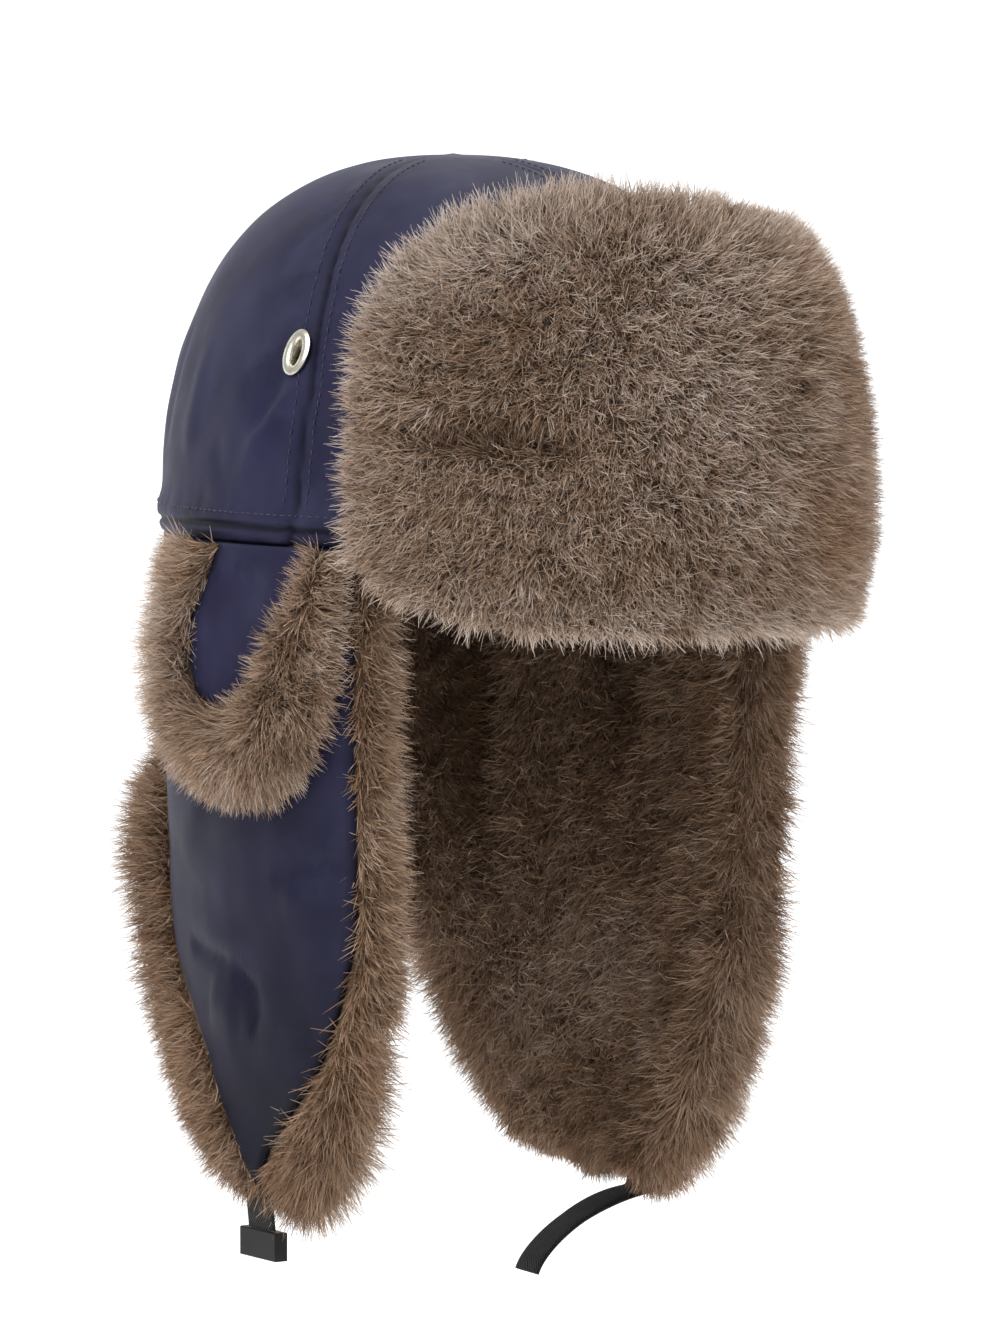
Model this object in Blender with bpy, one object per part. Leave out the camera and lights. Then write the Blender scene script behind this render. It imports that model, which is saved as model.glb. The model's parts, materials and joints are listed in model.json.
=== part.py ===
"""Bomber hat: a nylon crown and flap band, a fur lining, a turned-up fur front and two ear covers.

Metres, +Z up. The origin is the middle of the head opening at brow height, where the hat sits on a head.
The wearer looks along -Y and the wearer's right is -X. A turn is an angle in degrees about +Z from the
front middle, positive to the wearer's left, so that 90 is over the left ear and 180 is the nape.
"""

import math

import bmesh
import bpy
import numpy as np
from mathutils import Vector

# Head form, outside the cloth
HEAD_WIDTH = 0.190
HEAD_LENGTH = 0.224
CROWN_HEIGHT = 0.116
CROWN_SET_BACK = 0.019  # how far the top of the dome lies behind the middle of the opening
CROWN_SET_BACK_POWER = 1.3
CROWN_SQUARENESS = 2.35  # power of the share across
CROWN_FULLNESS = 2.1  # power of the share upwards

# Cloth
CROWN_WALL = 0.0020
BAND_WALL = 0.0020
COVER_WALL = 0.0016
BACKING_WALL = 0.0018
SEAM_DIP = 0.0012  # how far the crown's four seams pull in
SIDE_SEAM_TURN = 79.0
ROLL_DEPTH = 0.0020  # how far the crown blouses over the flap band
ROLL_HEIGHT = 0.012

# Clearances between touching pieces
GAP = 0.0003
SKIN_GAP = 0.0008  # where two curved skins of different facets lie on each other

# Flap band: ear flaps and neck flap in one
FLAP_LENGTH_RIGHT = 0.195
FLAP_LENGTH_LEFT = 0.199
FLAP_FRONT_TURN = 71.0
FLAP_LEAN = 0.09  # share by which the flaps close in at their tips
FLAP_FLARE = 0.010  # share by which they stand out at half their length

# Fur
FUR_THICKNESS = 0.0175
FUR_TIP_FULLNESS = 0.42  # share by which the lining is thicker at the flaps' tips
FUR_THINNING = 0.35  # share by which the lining is thinner at its edge
FUR_TOP = 0.006  # how far the lining runs up inside the crown
FUR_OVERHANG_FRONT = 0.0075
FUR_MARGIN_SIDE = 0.08  # share by which the lining hangs further past the band on the wearer's left
LOCK_HEIGHT = 0.0040
LOCK_LEAN = 0.0050

# Front flap
FRONT_HALF_TURN = 65.5
FRONT_TOP = 0.0950
FRONT_SLANT = 0.008  # how far the top edge rises to the wearer's right of its middle, and falls to the left
FRONT_BOTTOM = -0.017
FRONT_MIDDLE = 0.020
FRONT_TOP_SQUARENESS = 3.3
FRONT_FOOT_SQUARENESS = 3.4
FRONT_FORM_HEIGHT = 0.147  # height of the form that the standing front flap follows
FRONT_FUR_THICKNESS = 0.0075
FRONT_FUR_MARGIN = 0.0070

# Ear covers
COVER_TURN = 93.0
COVER_WIDTH = 0.046
COVER_DROP = 0.050
COVER_STAND = 0.0075  # how far the cover's foot stands off the band
COVER_FUR_MARGIN = 0.0160
COVER_FUR_FOOT = 0.0260
COVER_RIM = 0.0060
COVER_SHIFT = 0.0115  # how far to the front the cover's cloth lies at its top
COVER_SHIFT_DROP = 0.025  # and the depth below which it hangs straight

# Eyelets
EYELET_TURN = 82.3
EYELET_HEIGHT = 0.057
EYELET_RADIUS = 0.0074  # half its height
EYELET_BORE_RADIUS = 0.0042
EYELET_SLIM = 0.0025  # by how much its half width is less
EYELET_WALL = 0.0010
EYELET_DOME = 0.0011

# Chin strap ends
STRAP_WIDTH = 0.0150
STRAP_THICKNESS = 0.0015
STRAP_TURN = 100.0
STRAP_SEWN = 0.016
STRAP_DROP_RIGHT = 0.017
STRAP_TAIL_REACH = 0.043
STRAP_TAIL_DROP = 0.024
STRAP_TAIL_START = 0.007  # how far below the lining's edge the loose tail turns in
STRAP_TAIL_HEADING = 166.0  # degrees from +X about +Z
BUCKLE_WIDTH = 0.0210
BUCKLE_HEIGHT = 0.0090
BUCKLE_DEPTH = 0.0045
BUCKLE_WALL = 0.0012
BUCKLE_MOUTH = 0.0050  # depth of the mouth that takes the other half

HALF_WIDTH = HEAD_WIDTH / 2
HALF_LENGTH = HEAD_LENGTH / 2
FLAP_LENGTH = (FLAP_LENGTH_RIGHT + FLAP_LENGTH_LEFT) / 2
FLAP_SIDE = (FLAP_LENGTH_LEFT - FLAP_LENGTH_RIGHT) / 2
STRAP_HALF_TURN = math.degrees(STRAP_WIDTH / 2 / (HALF_LENGTH * (1 - FLAP_LEAN)))
CHANNEL_HALF_TURN = STRAP_HALF_TURN + 0.35
STRAP_SAG = STRAP_WIDTH**2 / 8 * HALF_WIDTH / HALF_LENGTH**2  # a flat strap's rise off the curved band
STRAP_OUT = -(BAND_WALL + SKIN_GAP / 2 + STRAP_SAG + STRAP_THICKNESS / 2)
CHANNEL_OUT = STRAP_OUT - STRAP_THICKNESS / 2 - GAP

# Places round half the band: 0 at the front edge of a flap, 1 at its strap and 2 at the nape.
# Depth of the band's lower edge, as a share of the flap length
BAND_EDGE = (
    (0.0, 0.600),
    (0.14, 0.720),
    (0.31, 0.815),
    (0.55, 0.890),
    (0.79, 0.955),
    (1.0, 1.000),
    (1.075, 0.915),
    (1.15, 0.820),
    (1.26, 0.730),
    (1.375, 0.660),
    (1.46, 0.570),
    (1.56, 0.445),
    (1.70, 0.350),
    (2.0, 0.320),
)
# How far the lining's edge hangs below the band's, as a share of the flap length
FUR_MARGIN = (
    (0.0, 0.147),
    (0.31, 0.142),
    (0.55, 0.136),
    (0.79, 0.114),
    (1.0, 0.043),
    (1.075, 0.125),
    (1.15, 0.216),
    (1.26, 0.286),
    (1.375, 0.300),
    (1.46, 0.292),
    (1.56, 0.265),
    (1.70, 0.215),
    (2.0, 0.185),
)
# How far the lining's rolled rim stands out past the band, as a share of the fur's thickness
FUR_RIM = (
    (0.0, 0.17),
    (0.9, 0.17),
    (1.15, 0.38),
    (1.35, 0.50),
    (1.46, 0.66),
    (1.56, 0.90),
    (1.66, 1.15),
    (1.80, 1.15),
    (2.0, 0.95),
)
# Folds pressed into the lining: place, top and foot as shares of the flap length, depth and width as
# shares of the fur's thickness
LINING_FOLDS = (
    (1.425, -0.12, -0.60, 0.45, 0.50),
    (1.075, -0.12, -0.32, 0.35, 0.45),
    (1.750, -0.08, -0.40, 0.30, 0.60),
)

NAVY = (0.043, 0.043, 0.105, 1.0)
BROWN = (0.20, 0.145, 0.10, 1.0)
STEEL = (0.70, 0.68, 0.60, 1.0)
BLACK = (0.012, 0.012, 0.014, 1.0)


def clear_scene():
    for thing in list(bpy.data.objects):
        bpy.data.objects.remove(thing, do_unlink=True)


def finish(name, roughness, metallic):
    """Plain material of a sub-part, in the colour that its name gives."""
    colours = {"nylon": NAVY, "fur": BROWN, "metal": STEEL, "webbing": BLACK, "plastic": BLACK}
    material = bpy.data.materials.new(name)
    material.use_nodes = True
    shader = material.node_tree.nodes["Principled BSDF"]
    shader.inputs["Base Color"].default_value = colours[name.split("_")[0]]
    shader.inputs["Roughness"].default_value = roughness
    shader.inputs["Metallic"].default_value = metallic
    return material


def add_object(name, points, faces, material, smooth=True):
    """Object of a closed mesh, with its faces turned outwards."""
    mesh = bpy.data.meshes.new(name)
    mesh.from_pydata([tuple(point) for point in points], [], faces)
    shape = bmesh.new()
    shape.from_mesh(mesh)
    bmesh.ops.recalc_face_normals(shape, faces=shape.faces)
    shape.to_mesh(mesh)
    shape.free()
    if smooth:
        mesh.shade_smooth()
        mesh.set_sharp_from_angle(angle=math.radians(40))
    mesh.materials.append(material)
    thing = bpy.data.objects.new(name, mesh)
    bpy.context.collection.objects.link(thing)
    return thing


def smooth_table(table, at):
    """Value of a table's second column at a place in its first, by a cubic through its points."""
    places = np.array([row[0] for row in table], float)
    values = np.array([row[1] for row in table], float)
    slopes = np.gradient(values, places)
    at = np.clip(at, places[0], places[-1])
    left = np.clip(np.searchsorted(places, at) - 1, 0, len(places) - 2)
    span = places[left + 1] - places[left]
    share = (at - places[left]) / span
    start = (1 + 2 * share) * (1 - share) ** 2 * values[left] + share * (1 - share) ** 2 * slopes[left] * span
    end = share**2 * (3 - 2 * share) * values[left + 1] + share**2 * (share - 1) * slopes[left + 1] * span
    return start + end


def form_point(turn, height, out, share, set_back=0.0):
    """Point of an ellipse of the head form times a share, grown by out and moved back."""
    angle = np.radians(turn)
    across = (HALF_WIDTH * share + out) * np.sin(angle)
    along = -(HALF_LENGTH * share + out) * np.cos(angle) + set_back
    return np.stack(np.broadcast_arrays(across, along, height), axis=-1)


def crown_share(height):
    """Share of the head form at a height of the dome."""
    up = np.clip(height / CROWN_HEIGHT, 0, 1)
    return (1 - up**CROWN_FULLNESS) ** (1 / CROWN_SQUARENESS)


def crown_point(turn, height, out):
    """Point of the dome, whose top lies back."""
    set_back = CROWN_SET_BACK * (height / CROWN_HEIGHT) ** CROWN_SET_BACK_POWER
    return form_point(turn, height, out, crown_share(height), set_back)


def band_share(height):
    """Share of the head form below the brow, where the flaps close in."""
    down = np.clip(-height / FLAP_LENGTH, 0, None)
    return 1 - FLAP_LEAN * down**2 + FLAP_FLARE * np.sin(np.pi * np.clip(down, 0, 1))


def front_share(height):
    """Share of the head form that the front flap follows as it stands up off the dome."""
    up = np.clip(height / FRONT_FORM_HEIGHT, 0, 0.97)
    return (1 - up**CROWN_SQUARENESS) ** (1 / CROWN_FULLNESS)


def flap_length(turn):
    """Flap length on this side, which runs smoothly through the nape."""
    return FLAP_LENGTH + FLAP_SIDE * np.sin(np.radians(turn))


def band_place(turn):
    """Place round half the band: 0 at a flap's front edge, 1 at its strap and 2 at the nape."""
    return np.interp(np.abs(turn), (FLAP_FRONT_TURN, STRAP_TURN, 180.0), (0.0, 1.0, 2.0))


def place_turn(place):
    """Turn of a place round half the band."""
    return np.interp(place, (0.0, 1.0, 2.0), (FLAP_FRONT_TURN, STRAP_TURN, 180.0))


def band_depth(turn):
    """Depth of the band's lower edge below the brow."""
    return smooth_table(BAND_EDGE, band_place(turn)) * flap_length(turn)


def fur_depth(turn):
    """Depth of the lining's lower edge below the brow."""
    side = 1 + FUR_MARGIN_SIDE * np.sin(np.radians(turn))
    return band_depth(turn) + smooth_table(FUR_MARGIN, band_place(turn)) * side * flap_length(turn)


def grid_faces(rows, columns, start, pokes=None):
    """Quads of a grid of points; a cell in pokes is left to its lock."""
    faces = []
    for row in range(rows - 1):
        for column in range(columns - 1):
            if pokes is None or not pokes[row, column]:
                corner = start + row * columns + column
                faces.append((corner, corner + 1, corner + columns + 1, corner + columns))
    return faces


def border_loop(rows, columns):
    """Places of a grid's outer points, once round."""
    loop = [(0, column) for column in range(columns)]
    loop += [(row, columns - 1) for row in range(1, rows)]
    loop += [(rows - 1, column) for column in range(columns - 2, -1, -1)]
    loop += [(row, 0) for row in range(rows - 2, 0, -1)]
    return loop


def slab(name, face, back, material):
    """Closed plate between two grids of the same size."""
    rows, columns = face.shape[:2]
    points = list(face.reshape(-1, 3)) + list(back.reshape(-1, 3))
    second = rows * columns
    faces = grid_faces(rows, columns, 0) + grid_faces(rows, columns, second)
    loop = [row * columns + column for row, column in border_loop(rows, columns)]
    for here, there in zip(loop, loop[1:] + loop[:1]):
        faces.append((here, there, second + there, second + here))
    return add_object(name, points, faces, material)


def lock(points, faces, corners, lean, height):
    """One pointed lock of fur, raised from a cell and leaning along the pile."""
    ring = [Vector(points[corner]) for corner in corners]
    middle = sum(ring, Vector()) / len(ring)
    normal = (ring[2] - ring[0]).cross(ring[3] - ring[1]).normalized()
    tip = len(points)
    points.append(middle + normal * height + lean)
    for here, there in zip(corners, corners[1:] + corners[:1]):
        faces.append((here, there, tip))


def fur_body(name, face, back, pokes, material, seed):
    """Closed fur pad: a grid of locks on its face and round its edge, and a plain back."""
    rows, columns = face.shape[:2]
    points = [Vector(point) for point in face.reshape(-1, 3)] + [Vector(point) for point in back.reshape(-1, 3)]
    second = rows * columns
    faces = grid_faces(rows, columns, 0, pokes) + grid_faces(rows, columns, second)
    chance = np.random.default_rng(seed)
    outward = np.sign(np.einsum("ij,ij->", grid_normals(face), (face - back)[:-1, :-1].reshape(-1, 3))) or 1.0
    for row, column in zip(*np.nonzero(pokes)):
        corner = row * columns + column
        corners = [corner, corner + 1, corner + columns + 1, corner + columns]
        if outward < 0:
            corners.reverse()
        size = chance.uniform(0.6, 1.3)
        aside = (points[corner + 1] - points[corner]).normalized() * chance.uniform(-0.3, 0.3)
        lean = (Vector((0, 0, -size)) + aside) * LOCK_LEAN
        lock(points, faces, corners, lean, LOCK_HEIGHT * size)
    loop = [row * columns + column for row, column in border_loop(rows, columns)]
    for here, there in zip(loop, loop[1:] + loop[:1]):
        faces.append((here, there, second + there, second + here))
    return add_object(name, points, faces, material, smooth=False)


def grid_normals(grid):
    """Normals of a grid's cells, not made to length."""
    first = grid[1:, 1:] - grid[:-1, :-1]
    other = grid[1:, :-1] - grid[:-1, 1:]
    return np.cross(first, other).reshape(-1, 3)


def make_crown(material):
    """Hollow dome of four panels, bloused over the band at its foot."""
    front_panel = np.linspace(0, SIDE_SEAM_TURN, 10)[:-1]
    back_panel = np.linspace(SIDE_SEAM_TURN, 180, 12)[:-1]
    half = np.concatenate([front_panel, back_panel])
    turns = np.concatenate([half, 360 - np.append(half[1:], 180.0)[::-1]])
    columns = len(turns)
    roll = [(0.0, 0.4), (0.25, 1.0), (0.65, 0.9), (1.0, 0.25)]
    heights = [share * ROLL_HEIGHT for share, _ in roll]
    outs = [share * ROLL_DEPTH for _, share in roll]
    climbs = np.radians([14, 26, 38, 50, 62, 74])
    heights += list(CROWN_HEIGHT * np.sin(climbs) ** (2 / CROWN_FULLNESS))
    outs += [0.0] * len(climbs)
    seams = np.array([0.0, SIDE_SEAM_TURN, 180.0, 360.0 - SIDE_SEAM_TURN])
    apart = np.abs((turns[:, None] - seams[None, :] + 180) % 360 - 180).min(axis=1)
    dips = np.where(apart < 1.0, SEAM_DIP, 0.0)
    points = []
    for height, out in zip(heights, outs):
        dip = dips * min(1.0, height / ROLL_HEIGHT)
        points += list(crown_point(turns, height, out - dip))
    points.append((0, CROWN_SET_BACK, CROWN_HEIGHT))
    faces = []
    for row in range(len(heights) - 1):
        for column in range(columns):
            near, far = row * columns + column, row * columns + (column + 1) % columns
            faces.append((near, far, far + columns, near + columns))
    last = (len(heights) - 1) * columns
    faces += [(last + column, last + (column + 1) % columns, len(points) - 1) for column in range(columns)]
    crown = add_object("crown_shell", points, faces, material)
    wall = crown.modifiers.new("wall", "SOLIDIFY")
    wall.thickness = CROWN_WALL
    wall.offset = -1.0
    wall.use_even_offset = True
    return crown


def eyelet_seat(side):
    """Place on the crown and outward direction of an eyelet."""
    turn = side * EYELET_TURN
    step = 0.001
    here = crown_point(turn, EYELET_HEIGHT, 0.0)
    above = crown_point(turn, EYELET_HEIGHT + step, 0.0)
    beside = crown_point(turn + 1.0, EYELET_HEIGHT, 0.0)
    outward = Vector(beside - here).cross(Vector(above - here)).normalized()
    return Vector(here), outward


def make_eyelet(name, side, material):
    """Oval vent eyelet: a domed flange outside and a barrel through the wall."""
    barrel = EYELET_BORE_RADIUS + EYELET_WALL
    base = SKIN_GAP * 0.6
    profile = [
        (EYELET_BORE_RADIUS, -CROWN_WALL - EYELET_WALL),
        (barrel, -CROWN_WALL - EYELET_WALL),
        (barrel, base),
        (EYELET_RADIUS, base),
        (EYELET_RADIUS - EYELET_WALL * 0.3, base + EYELET_DOME * 0.6),
        ((EYELET_RADIUS + barrel) / 2, base + EYELET_DOME),
        (EYELET_BORE_RADIUS + EYELET_WALL * 0.4, base + EYELET_DOME * 0.8),
        (EYELET_BORE_RADIUS, base + EYELET_DOME * 0.3),
    ]
    steps = 16
    points = []
    for step in range(steps):
        angle = 2 * math.pi * step / steps
        across, upright = math.cos(angle), math.sin(angle)
        points += [((radius - EYELET_SLIM) * across, radius * upright, rise) for radius, rise in profile]
    count = len(profile)
    faces = []
    for step in range(steps):
        for place in range(count):
            here, there = step * count, (step + 1) % steps * count
            after = (place + 1) % count
            faces.append((here + place, here + after, there + after, there + place))
    eyelet = add_object(name, points, faces, material)
    seat, outward = eyelet_seat(side)
    eyelet.location = seat
    eyelet.rotation_euler = outward.to_track_quat("Z", "Y").to_euler()
    return eyelet


def cut_eyelet_hole(crown, side):
    """Hole in the crown for an eyelet's barrel."""
    seat, outward = eyelet_seat(side)
    radius = EYELET_BORE_RADIUS + EYELET_WALL + GAP
    bpy.ops.mesh.primitive_cylinder_add(
        vertices=16,
        radius=radius,
        depth=CROWN_WALL * 8,
        location=seat,
        rotation=outward.to_track_quat("Z", "Y").to_euler(),
    )
    cutter = bpy.context.object
    cutter.name = "eyelet_cutter"
    cutter.scale = ((radius - EYELET_SLIM) / radius, 1, 1)
    cutter.hide_render = True
    cutter.display_type = "WIRE"
    hole = crown.modifiers.new("eyelet hole", "BOOLEAN")
    hole.operation = "DIFFERENCE"
    hole.object = cutter


def band_turns():
    """Turns of the band's columns from the right front edge round the nape to the left one."""
    channel = [STRAP_TURN - CHANNEL_HALF_TURN, STRAP_TURN, STRAP_TURN + CHANNEL_HALF_TURN]
    before = list(np.linspace(FLAP_FRONT_TURN, channel[0], 6)[:-1])
    after = list(180.0 - (180.0 - channel[2]) * np.linspace(1, 0, 11)[1:-1] ** 1.15)
    half = before + channel + after
    return np.array([-turn for turn in half] + [-180.0] + half[::-1])


def column_turn(turns):
    """The same turns with the nape's own sign settled, for tables that read both sides."""
    return np.where(turns <= -180.0, 180.0, turns)


def make_band(material):
    """Nylon band of ear flaps and neck flap, one wall thick."""
    turns = column_turn(band_turns())
    shares = np.linspace(0, 1, 9) ** 0.9
    depth = band_depth(turns)
    heights = -GAP - (depth - GAP)[None, :] * shares[:, None]
    turn_grid = np.broadcast_to(turns, heights.shape)
    share = band_share(heights)
    face = form_point(turn_grid, heights, 0.0, share)
    back = form_point(turn_grid, heights, -BAND_WALL, share)
    return slab("flap_band_shell", face, back, material)


def fold_depth(turn, height):
    """How far the folds press the lining's face in, as a share of the fur's thickness."""
    deep = np.zeros(np.broadcast(turn, height).shape)
    reach = FUR_THICKNESS / HALF_LENGTH
    for place, top, foot, depth, width in LINING_FOLDS:
        beside = np.radians(np.abs(turn) - place_turn(place)) / (reach * width)
        down = (-height / FLAP_LENGTH + (top + foot) / 2) / ((top - foot) / 2)
        deep += depth * np.exp(-(beside**2)) * np.clip(1 - down**4, 0, 1)
    return deep


def make_lining(material):
    """Fur lining of the band, with a rolled rim past the band's edge and a notch for each strap."""
    inner_turns = column_turn(band_turns())
    edge = math.degrees(FUR_OVERHANG_FRONT / HALF_LENGTH)
    border = [(edge, 1.0), (edge * 0.55, 0.55), (0.45, 0.12), (0.2, 0.0)]
    before = [-(FLAP_FRONT_TURN - ahead) for ahead, _ in border]
    turns = np.array(before + list(inner_turns[1:-1]) + [-turn for turn in before[::-1]])
    side_border = np.array([q for _, q in border] + [0.0] * (len(turns) - 8) + [q for _, q in border[::-1]])
    beyond_front = np.zeros(len(turns), bool)
    beyond_front[:3] = beyond_front[-3:] = True

    band, fur = band_depth(turns), fur_depth(turns)
    step = SKIN_GAP * np.sqrt(1 + (np.gradient(band, np.radians(turns) * HALF_LENGTH)) ** 2)
    inner_shares = np.array([0.12, 0.25, 0.38, 0.51, 0.64, 0.76, 0.88])
    rows = [np.full(len(turns), FUR_TOP), np.full(len(turns), 0.0), np.full(len(turns), -2 * GAP)]
    rows += [-band * share for share in inner_shares]
    rows += [-band - step * 0.6, -band - step * 1.2]
    for share in (0.4, 0.75, 1.0):
        rows.append(-band - step * 1.2 - (fur - band - step * 1.2) * share)
    heights = np.array(rows)
    row_border = np.array([0.0] * (3 + len(inner_shares)) + [0.0, 0.1, 0.45, 0.8, 1.0])

    turn_grid = np.broadcast_to(turns, heights.shape)
    border_grid = 1 - (1 - row_border[:, None]) * (1 - side_border[None, :])
    beyond = beyond_front[None, :] | (row_border[:, None] > 0)
    channel = np.abs(np.abs(turn_grid) - STRAP_TURN) < CHANNEL_HALF_TURN + 0.1
    under = np.where(channel & (heights < -band * 0.6), CHANNEL_OUT, -(BAND_WALL + GAP))
    rim_height = FUR_THICKNESS * smooth_table(FUR_RIM, band_place(turn_grid))
    rim = rim_height * np.sin(np.pi * np.clip(0.18 + border_grid * 0.72, 0, 1)) - BAND_WALL * border_grid
    outer = np.where(beyond & ~channel & (heights < -GAP), rim, under)
    fullness = 1 + FUR_TIP_FULLNESS * np.clip(-heights / FLAP_LENGTH, 0, 1) ** 2
    thick = FUR_THICKNESS * fullness * (1 - FUR_THINNING * border_grid**3) * (1 - fold_depth(turn_grid, heights))
    inner = -(BAND_WALL + GAP) - thick
    share = band_share(heights)
    face = form_point(turn_grid, heights, inner, share)
    back = form_point(turn_grid, heights, outer, share)
    pokes = np.ones((heights.shape[0] - 1, heights.shape[1] - 1), bool)
    pokes[:2, :] = False
    return fur_body("flap_band_fur", face, back, pokes, material, seed=11)


def front_outline(spread, top, bottom):
    """Upper and lower edge of the front flap, at a place from -1 to 1 across it."""
    top_share = (1 - np.abs(spread) ** FRONT_TOP_SQUARENESS) ** (1 / FRONT_TOP_SQUARENESS)
    foot_share = (1 - np.abs(spread) ** FRONT_FOOT_SQUARENESS) ** (1 / FRONT_FOOT_SQUARENESS)
    upper = FRONT_MIDDLE + (top - FRONT_MIDDLE) * top_share - FRONT_SLANT * spread
    lower = FRONT_MIDDLE - (FRONT_MIDDLE - bottom) * foot_share
    return upper, lower


def front_grid(half_turn, top, bottom, columns, rows):
    """Turns and heights of a grid over the front flap."""
    spread = np.sin(np.linspace(-1, 1, columns) * math.radians(82)) / math.sin(math.radians(82)) * 0.985
    upper, lower = front_outline(spread, top, bottom)
    shares = np.linspace(0, 1, rows)[:, None]
    heights = upper[None, :] + (lower - upper)[None, :] * shares
    turns = np.broadcast_to(spread * half_turn / 0.985, heights.shape)
    return turns, heights


def make_front_backing(material):
    """Nylon backing of the front flap, standing clear of the crown."""
    turns, heights = front_grid(FRONT_HALF_TURN, FRONT_TOP, FRONT_BOTTOM, 19, 9)
    share = front_share(heights)
    seat = ROLL_DEPTH + SKIN_GAP
    face = form_point(turns, heights, seat + BACKING_WALL, share)
    back = form_point(turns, heights, seat, share)
    return slab("front_flap_backing", face, back, material)


def make_front_fur(material):
    """Fur face of the front flap, a full pad that rounds off past the backing's edge."""
    margin = math.degrees(FRONT_FUR_MARGIN * 0.8 / HALF_LENGTH)
    turns, heights = front_grid(
        FRONT_HALF_TURN + margin, FRONT_TOP + FRONT_FUR_MARGIN, FRONT_BOTTOM - FRONT_FUR_MARGIN, 23, 15
    )
    rows, columns = turns.shape
    down = np.abs(np.linspace(-1, 1, rows))[:, None]
    across = np.abs(np.linspace(-1, 1, columns))[None, :]
    full = np.sqrt(np.clip((1 - down**4) * (1 - across**5), 0, 1))
    share = front_share(heights)
    seat = ROLL_DEPTH + SKIN_GAP + BACKING_WALL + SKIN_GAP
    face = form_point(turns, heights, seat + FRONT_FUR_THICKNESS * (0.28 + 0.72 * full), share)
    back = form_point(turns, heights, seat, share)
    pokes = np.ones((rows - 1, columns - 1), bool)
    return fur_body("front_flap_fur", face, back, pokes, material, seed=23)


def cover_stand(height):
    """Distance of an ear cover's cloth from the band, growing down to its foot."""
    return COVER_STAND * np.clip(-height / COVER_DROP, 0, 1) ** 0.8


def cover_edge(spread, drop, top):
    """Height of an ear cover's round lower edge."""
    return top - (drop + top) * (1 - np.abs(spread) ** 2.6) ** (1 / 2.6)


def cover_shift(height):
    """Turn by which a cover's cloth lies to the front at a height."""
    return math.degrees(COVER_SHIFT / HALF_LENGTH) * np.clip(1 + height / COVER_SHIFT_DROP, 0, 1) ** 0.7


def cover_spread():
    """Places of an ear cover's columns across it, from -1 to 1 but for its rounded sides."""
    sweep = math.radians(78)
    return np.sin(np.linspace(-sweep, sweep, 9)) / math.sin(sweep) * 0.97


def make_cover_shell(name, side, material):
    """Nylon of an ear cover: a tongue hanging from under the crown's roll."""
    half = math.degrees(COVER_WIDTH / 2 / HALF_LENGTH)
    spread = cover_spread()
    top = -GAP * 2
    low = cover_edge(spread, COVER_DROP, top)
    heights = top + (low - top)[None, :] * np.linspace(0, 1, 6)[:, None]
    turns = side * (COVER_TURN + spread * half - cover_shift(heights))
    share = band_share(heights)
    seat = 2 * SKIN_GAP + cover_stand(heights)
    face = form_point(turns, heights, seat + COVER_WALL, share)
    back = form_point(turns, heights, seat, share)
    return slab(name, face, back, material)


def make_cover_fur(name, side, material, seed):
    """Fur of an ear cover: thin behind the cloth, with a full rim round its sides and foot."""
    half = math.degrees(COVER_WIDTH / 2 / HALF_LENGTH)
    margin = math.degrees(COVER_FUR_MARGIN / HALF_LENGTH)
    gap_turn = math.degrees(SKIN_GAP / HALF_LENGTH)
    side_steps = np.array([1.0, 0.7, 0.35, 0.12])
    offsets = cover_spread() * half
    wing = offsets[-1] + gap_turn + (margin - gap_turn) * side_steps
    offsets[0] -= gap_turn * 0.5
    offsets[-1] += gap_turn * 0.5
    columns = np.concatenate([-wing, offsets, wing[::-1]])
    side_border = np.concatenate([side_steps, np.zeros(len(offsets)), side_steps[::-1]])

    top = -GAP * 4
    cloth_spread = np.clip(columns / half, -0.97, 0.97)
    fur_spread = columns / np.abs(columns).max() * 0.97
    edge = cover_edge(cloth_spread, COVER_DROP, top)
    slope = np.gradient(edge, np.radians(columns) * HALF_LENGTH)
    low_cloth = edge - GAP * np.sqrt(1 + slope**2)
    low_fur = cover_edge(fur_spread, COVER_DROP + COVER_FUR_FOOT, top)
    heights = [top + (low_cloth - top) * share for share in (0.0, 0.25, 0.5, 0.75, 1.0)]
    heights += [low_cloth - SKIN_GAP + (low_fur - low_cloth + SKIN_GAP) * share for share in (0.0, 0.4, 0.75, 1.0)]
    heights = np.array(heights)
    row_border = np.array([0.0] * 5 + [0.12, 0.45, 0.8, 1.0])

    border = 1 - (1 - row_border[:, None]) * (1 - side_border[None, :])
    beyond = border > 0
    turns = side * (COVER_TURN + columns - cover_shift(heights) * (1 - side_border))
    seat = SKIN_GAP
    cloth_back = 2 * SKIN_GAP + cover_stand(heights)
    rim = cloth_back + COVER_WALL + COVER_RIM * np.sin(np.pi * np.clip(0.2 + 0.75 * border, 0, 1))
    front = np.where(beyond, rim, cloth_back - GAP)
    share = band_share(heights)
    face = form_point(turns, heights, front, share)
    back = form_point(turns, heights, seat, share)
    pokes = (beyond[1:, 1:] & beyond[:-1, :-1]) & (beyond[1:, :-1] & beyond[:-1, 1:])
    return fur_body(name, face, back, pokes, material, seed)


def strap_seat(side, height):
    """Middle of the strap where it lies between band and lining, and the way across it."""
    middle = Vector(form_point(side * STRAP_TURN, height, STRAP_OUT, band_share(height)))
    beside = Vector(form_point(side * (STRAP_TURN + 1.0), height, STRAP_OUT, band_share(height)))
    return middle, (beside - middle).normalized()


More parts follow.
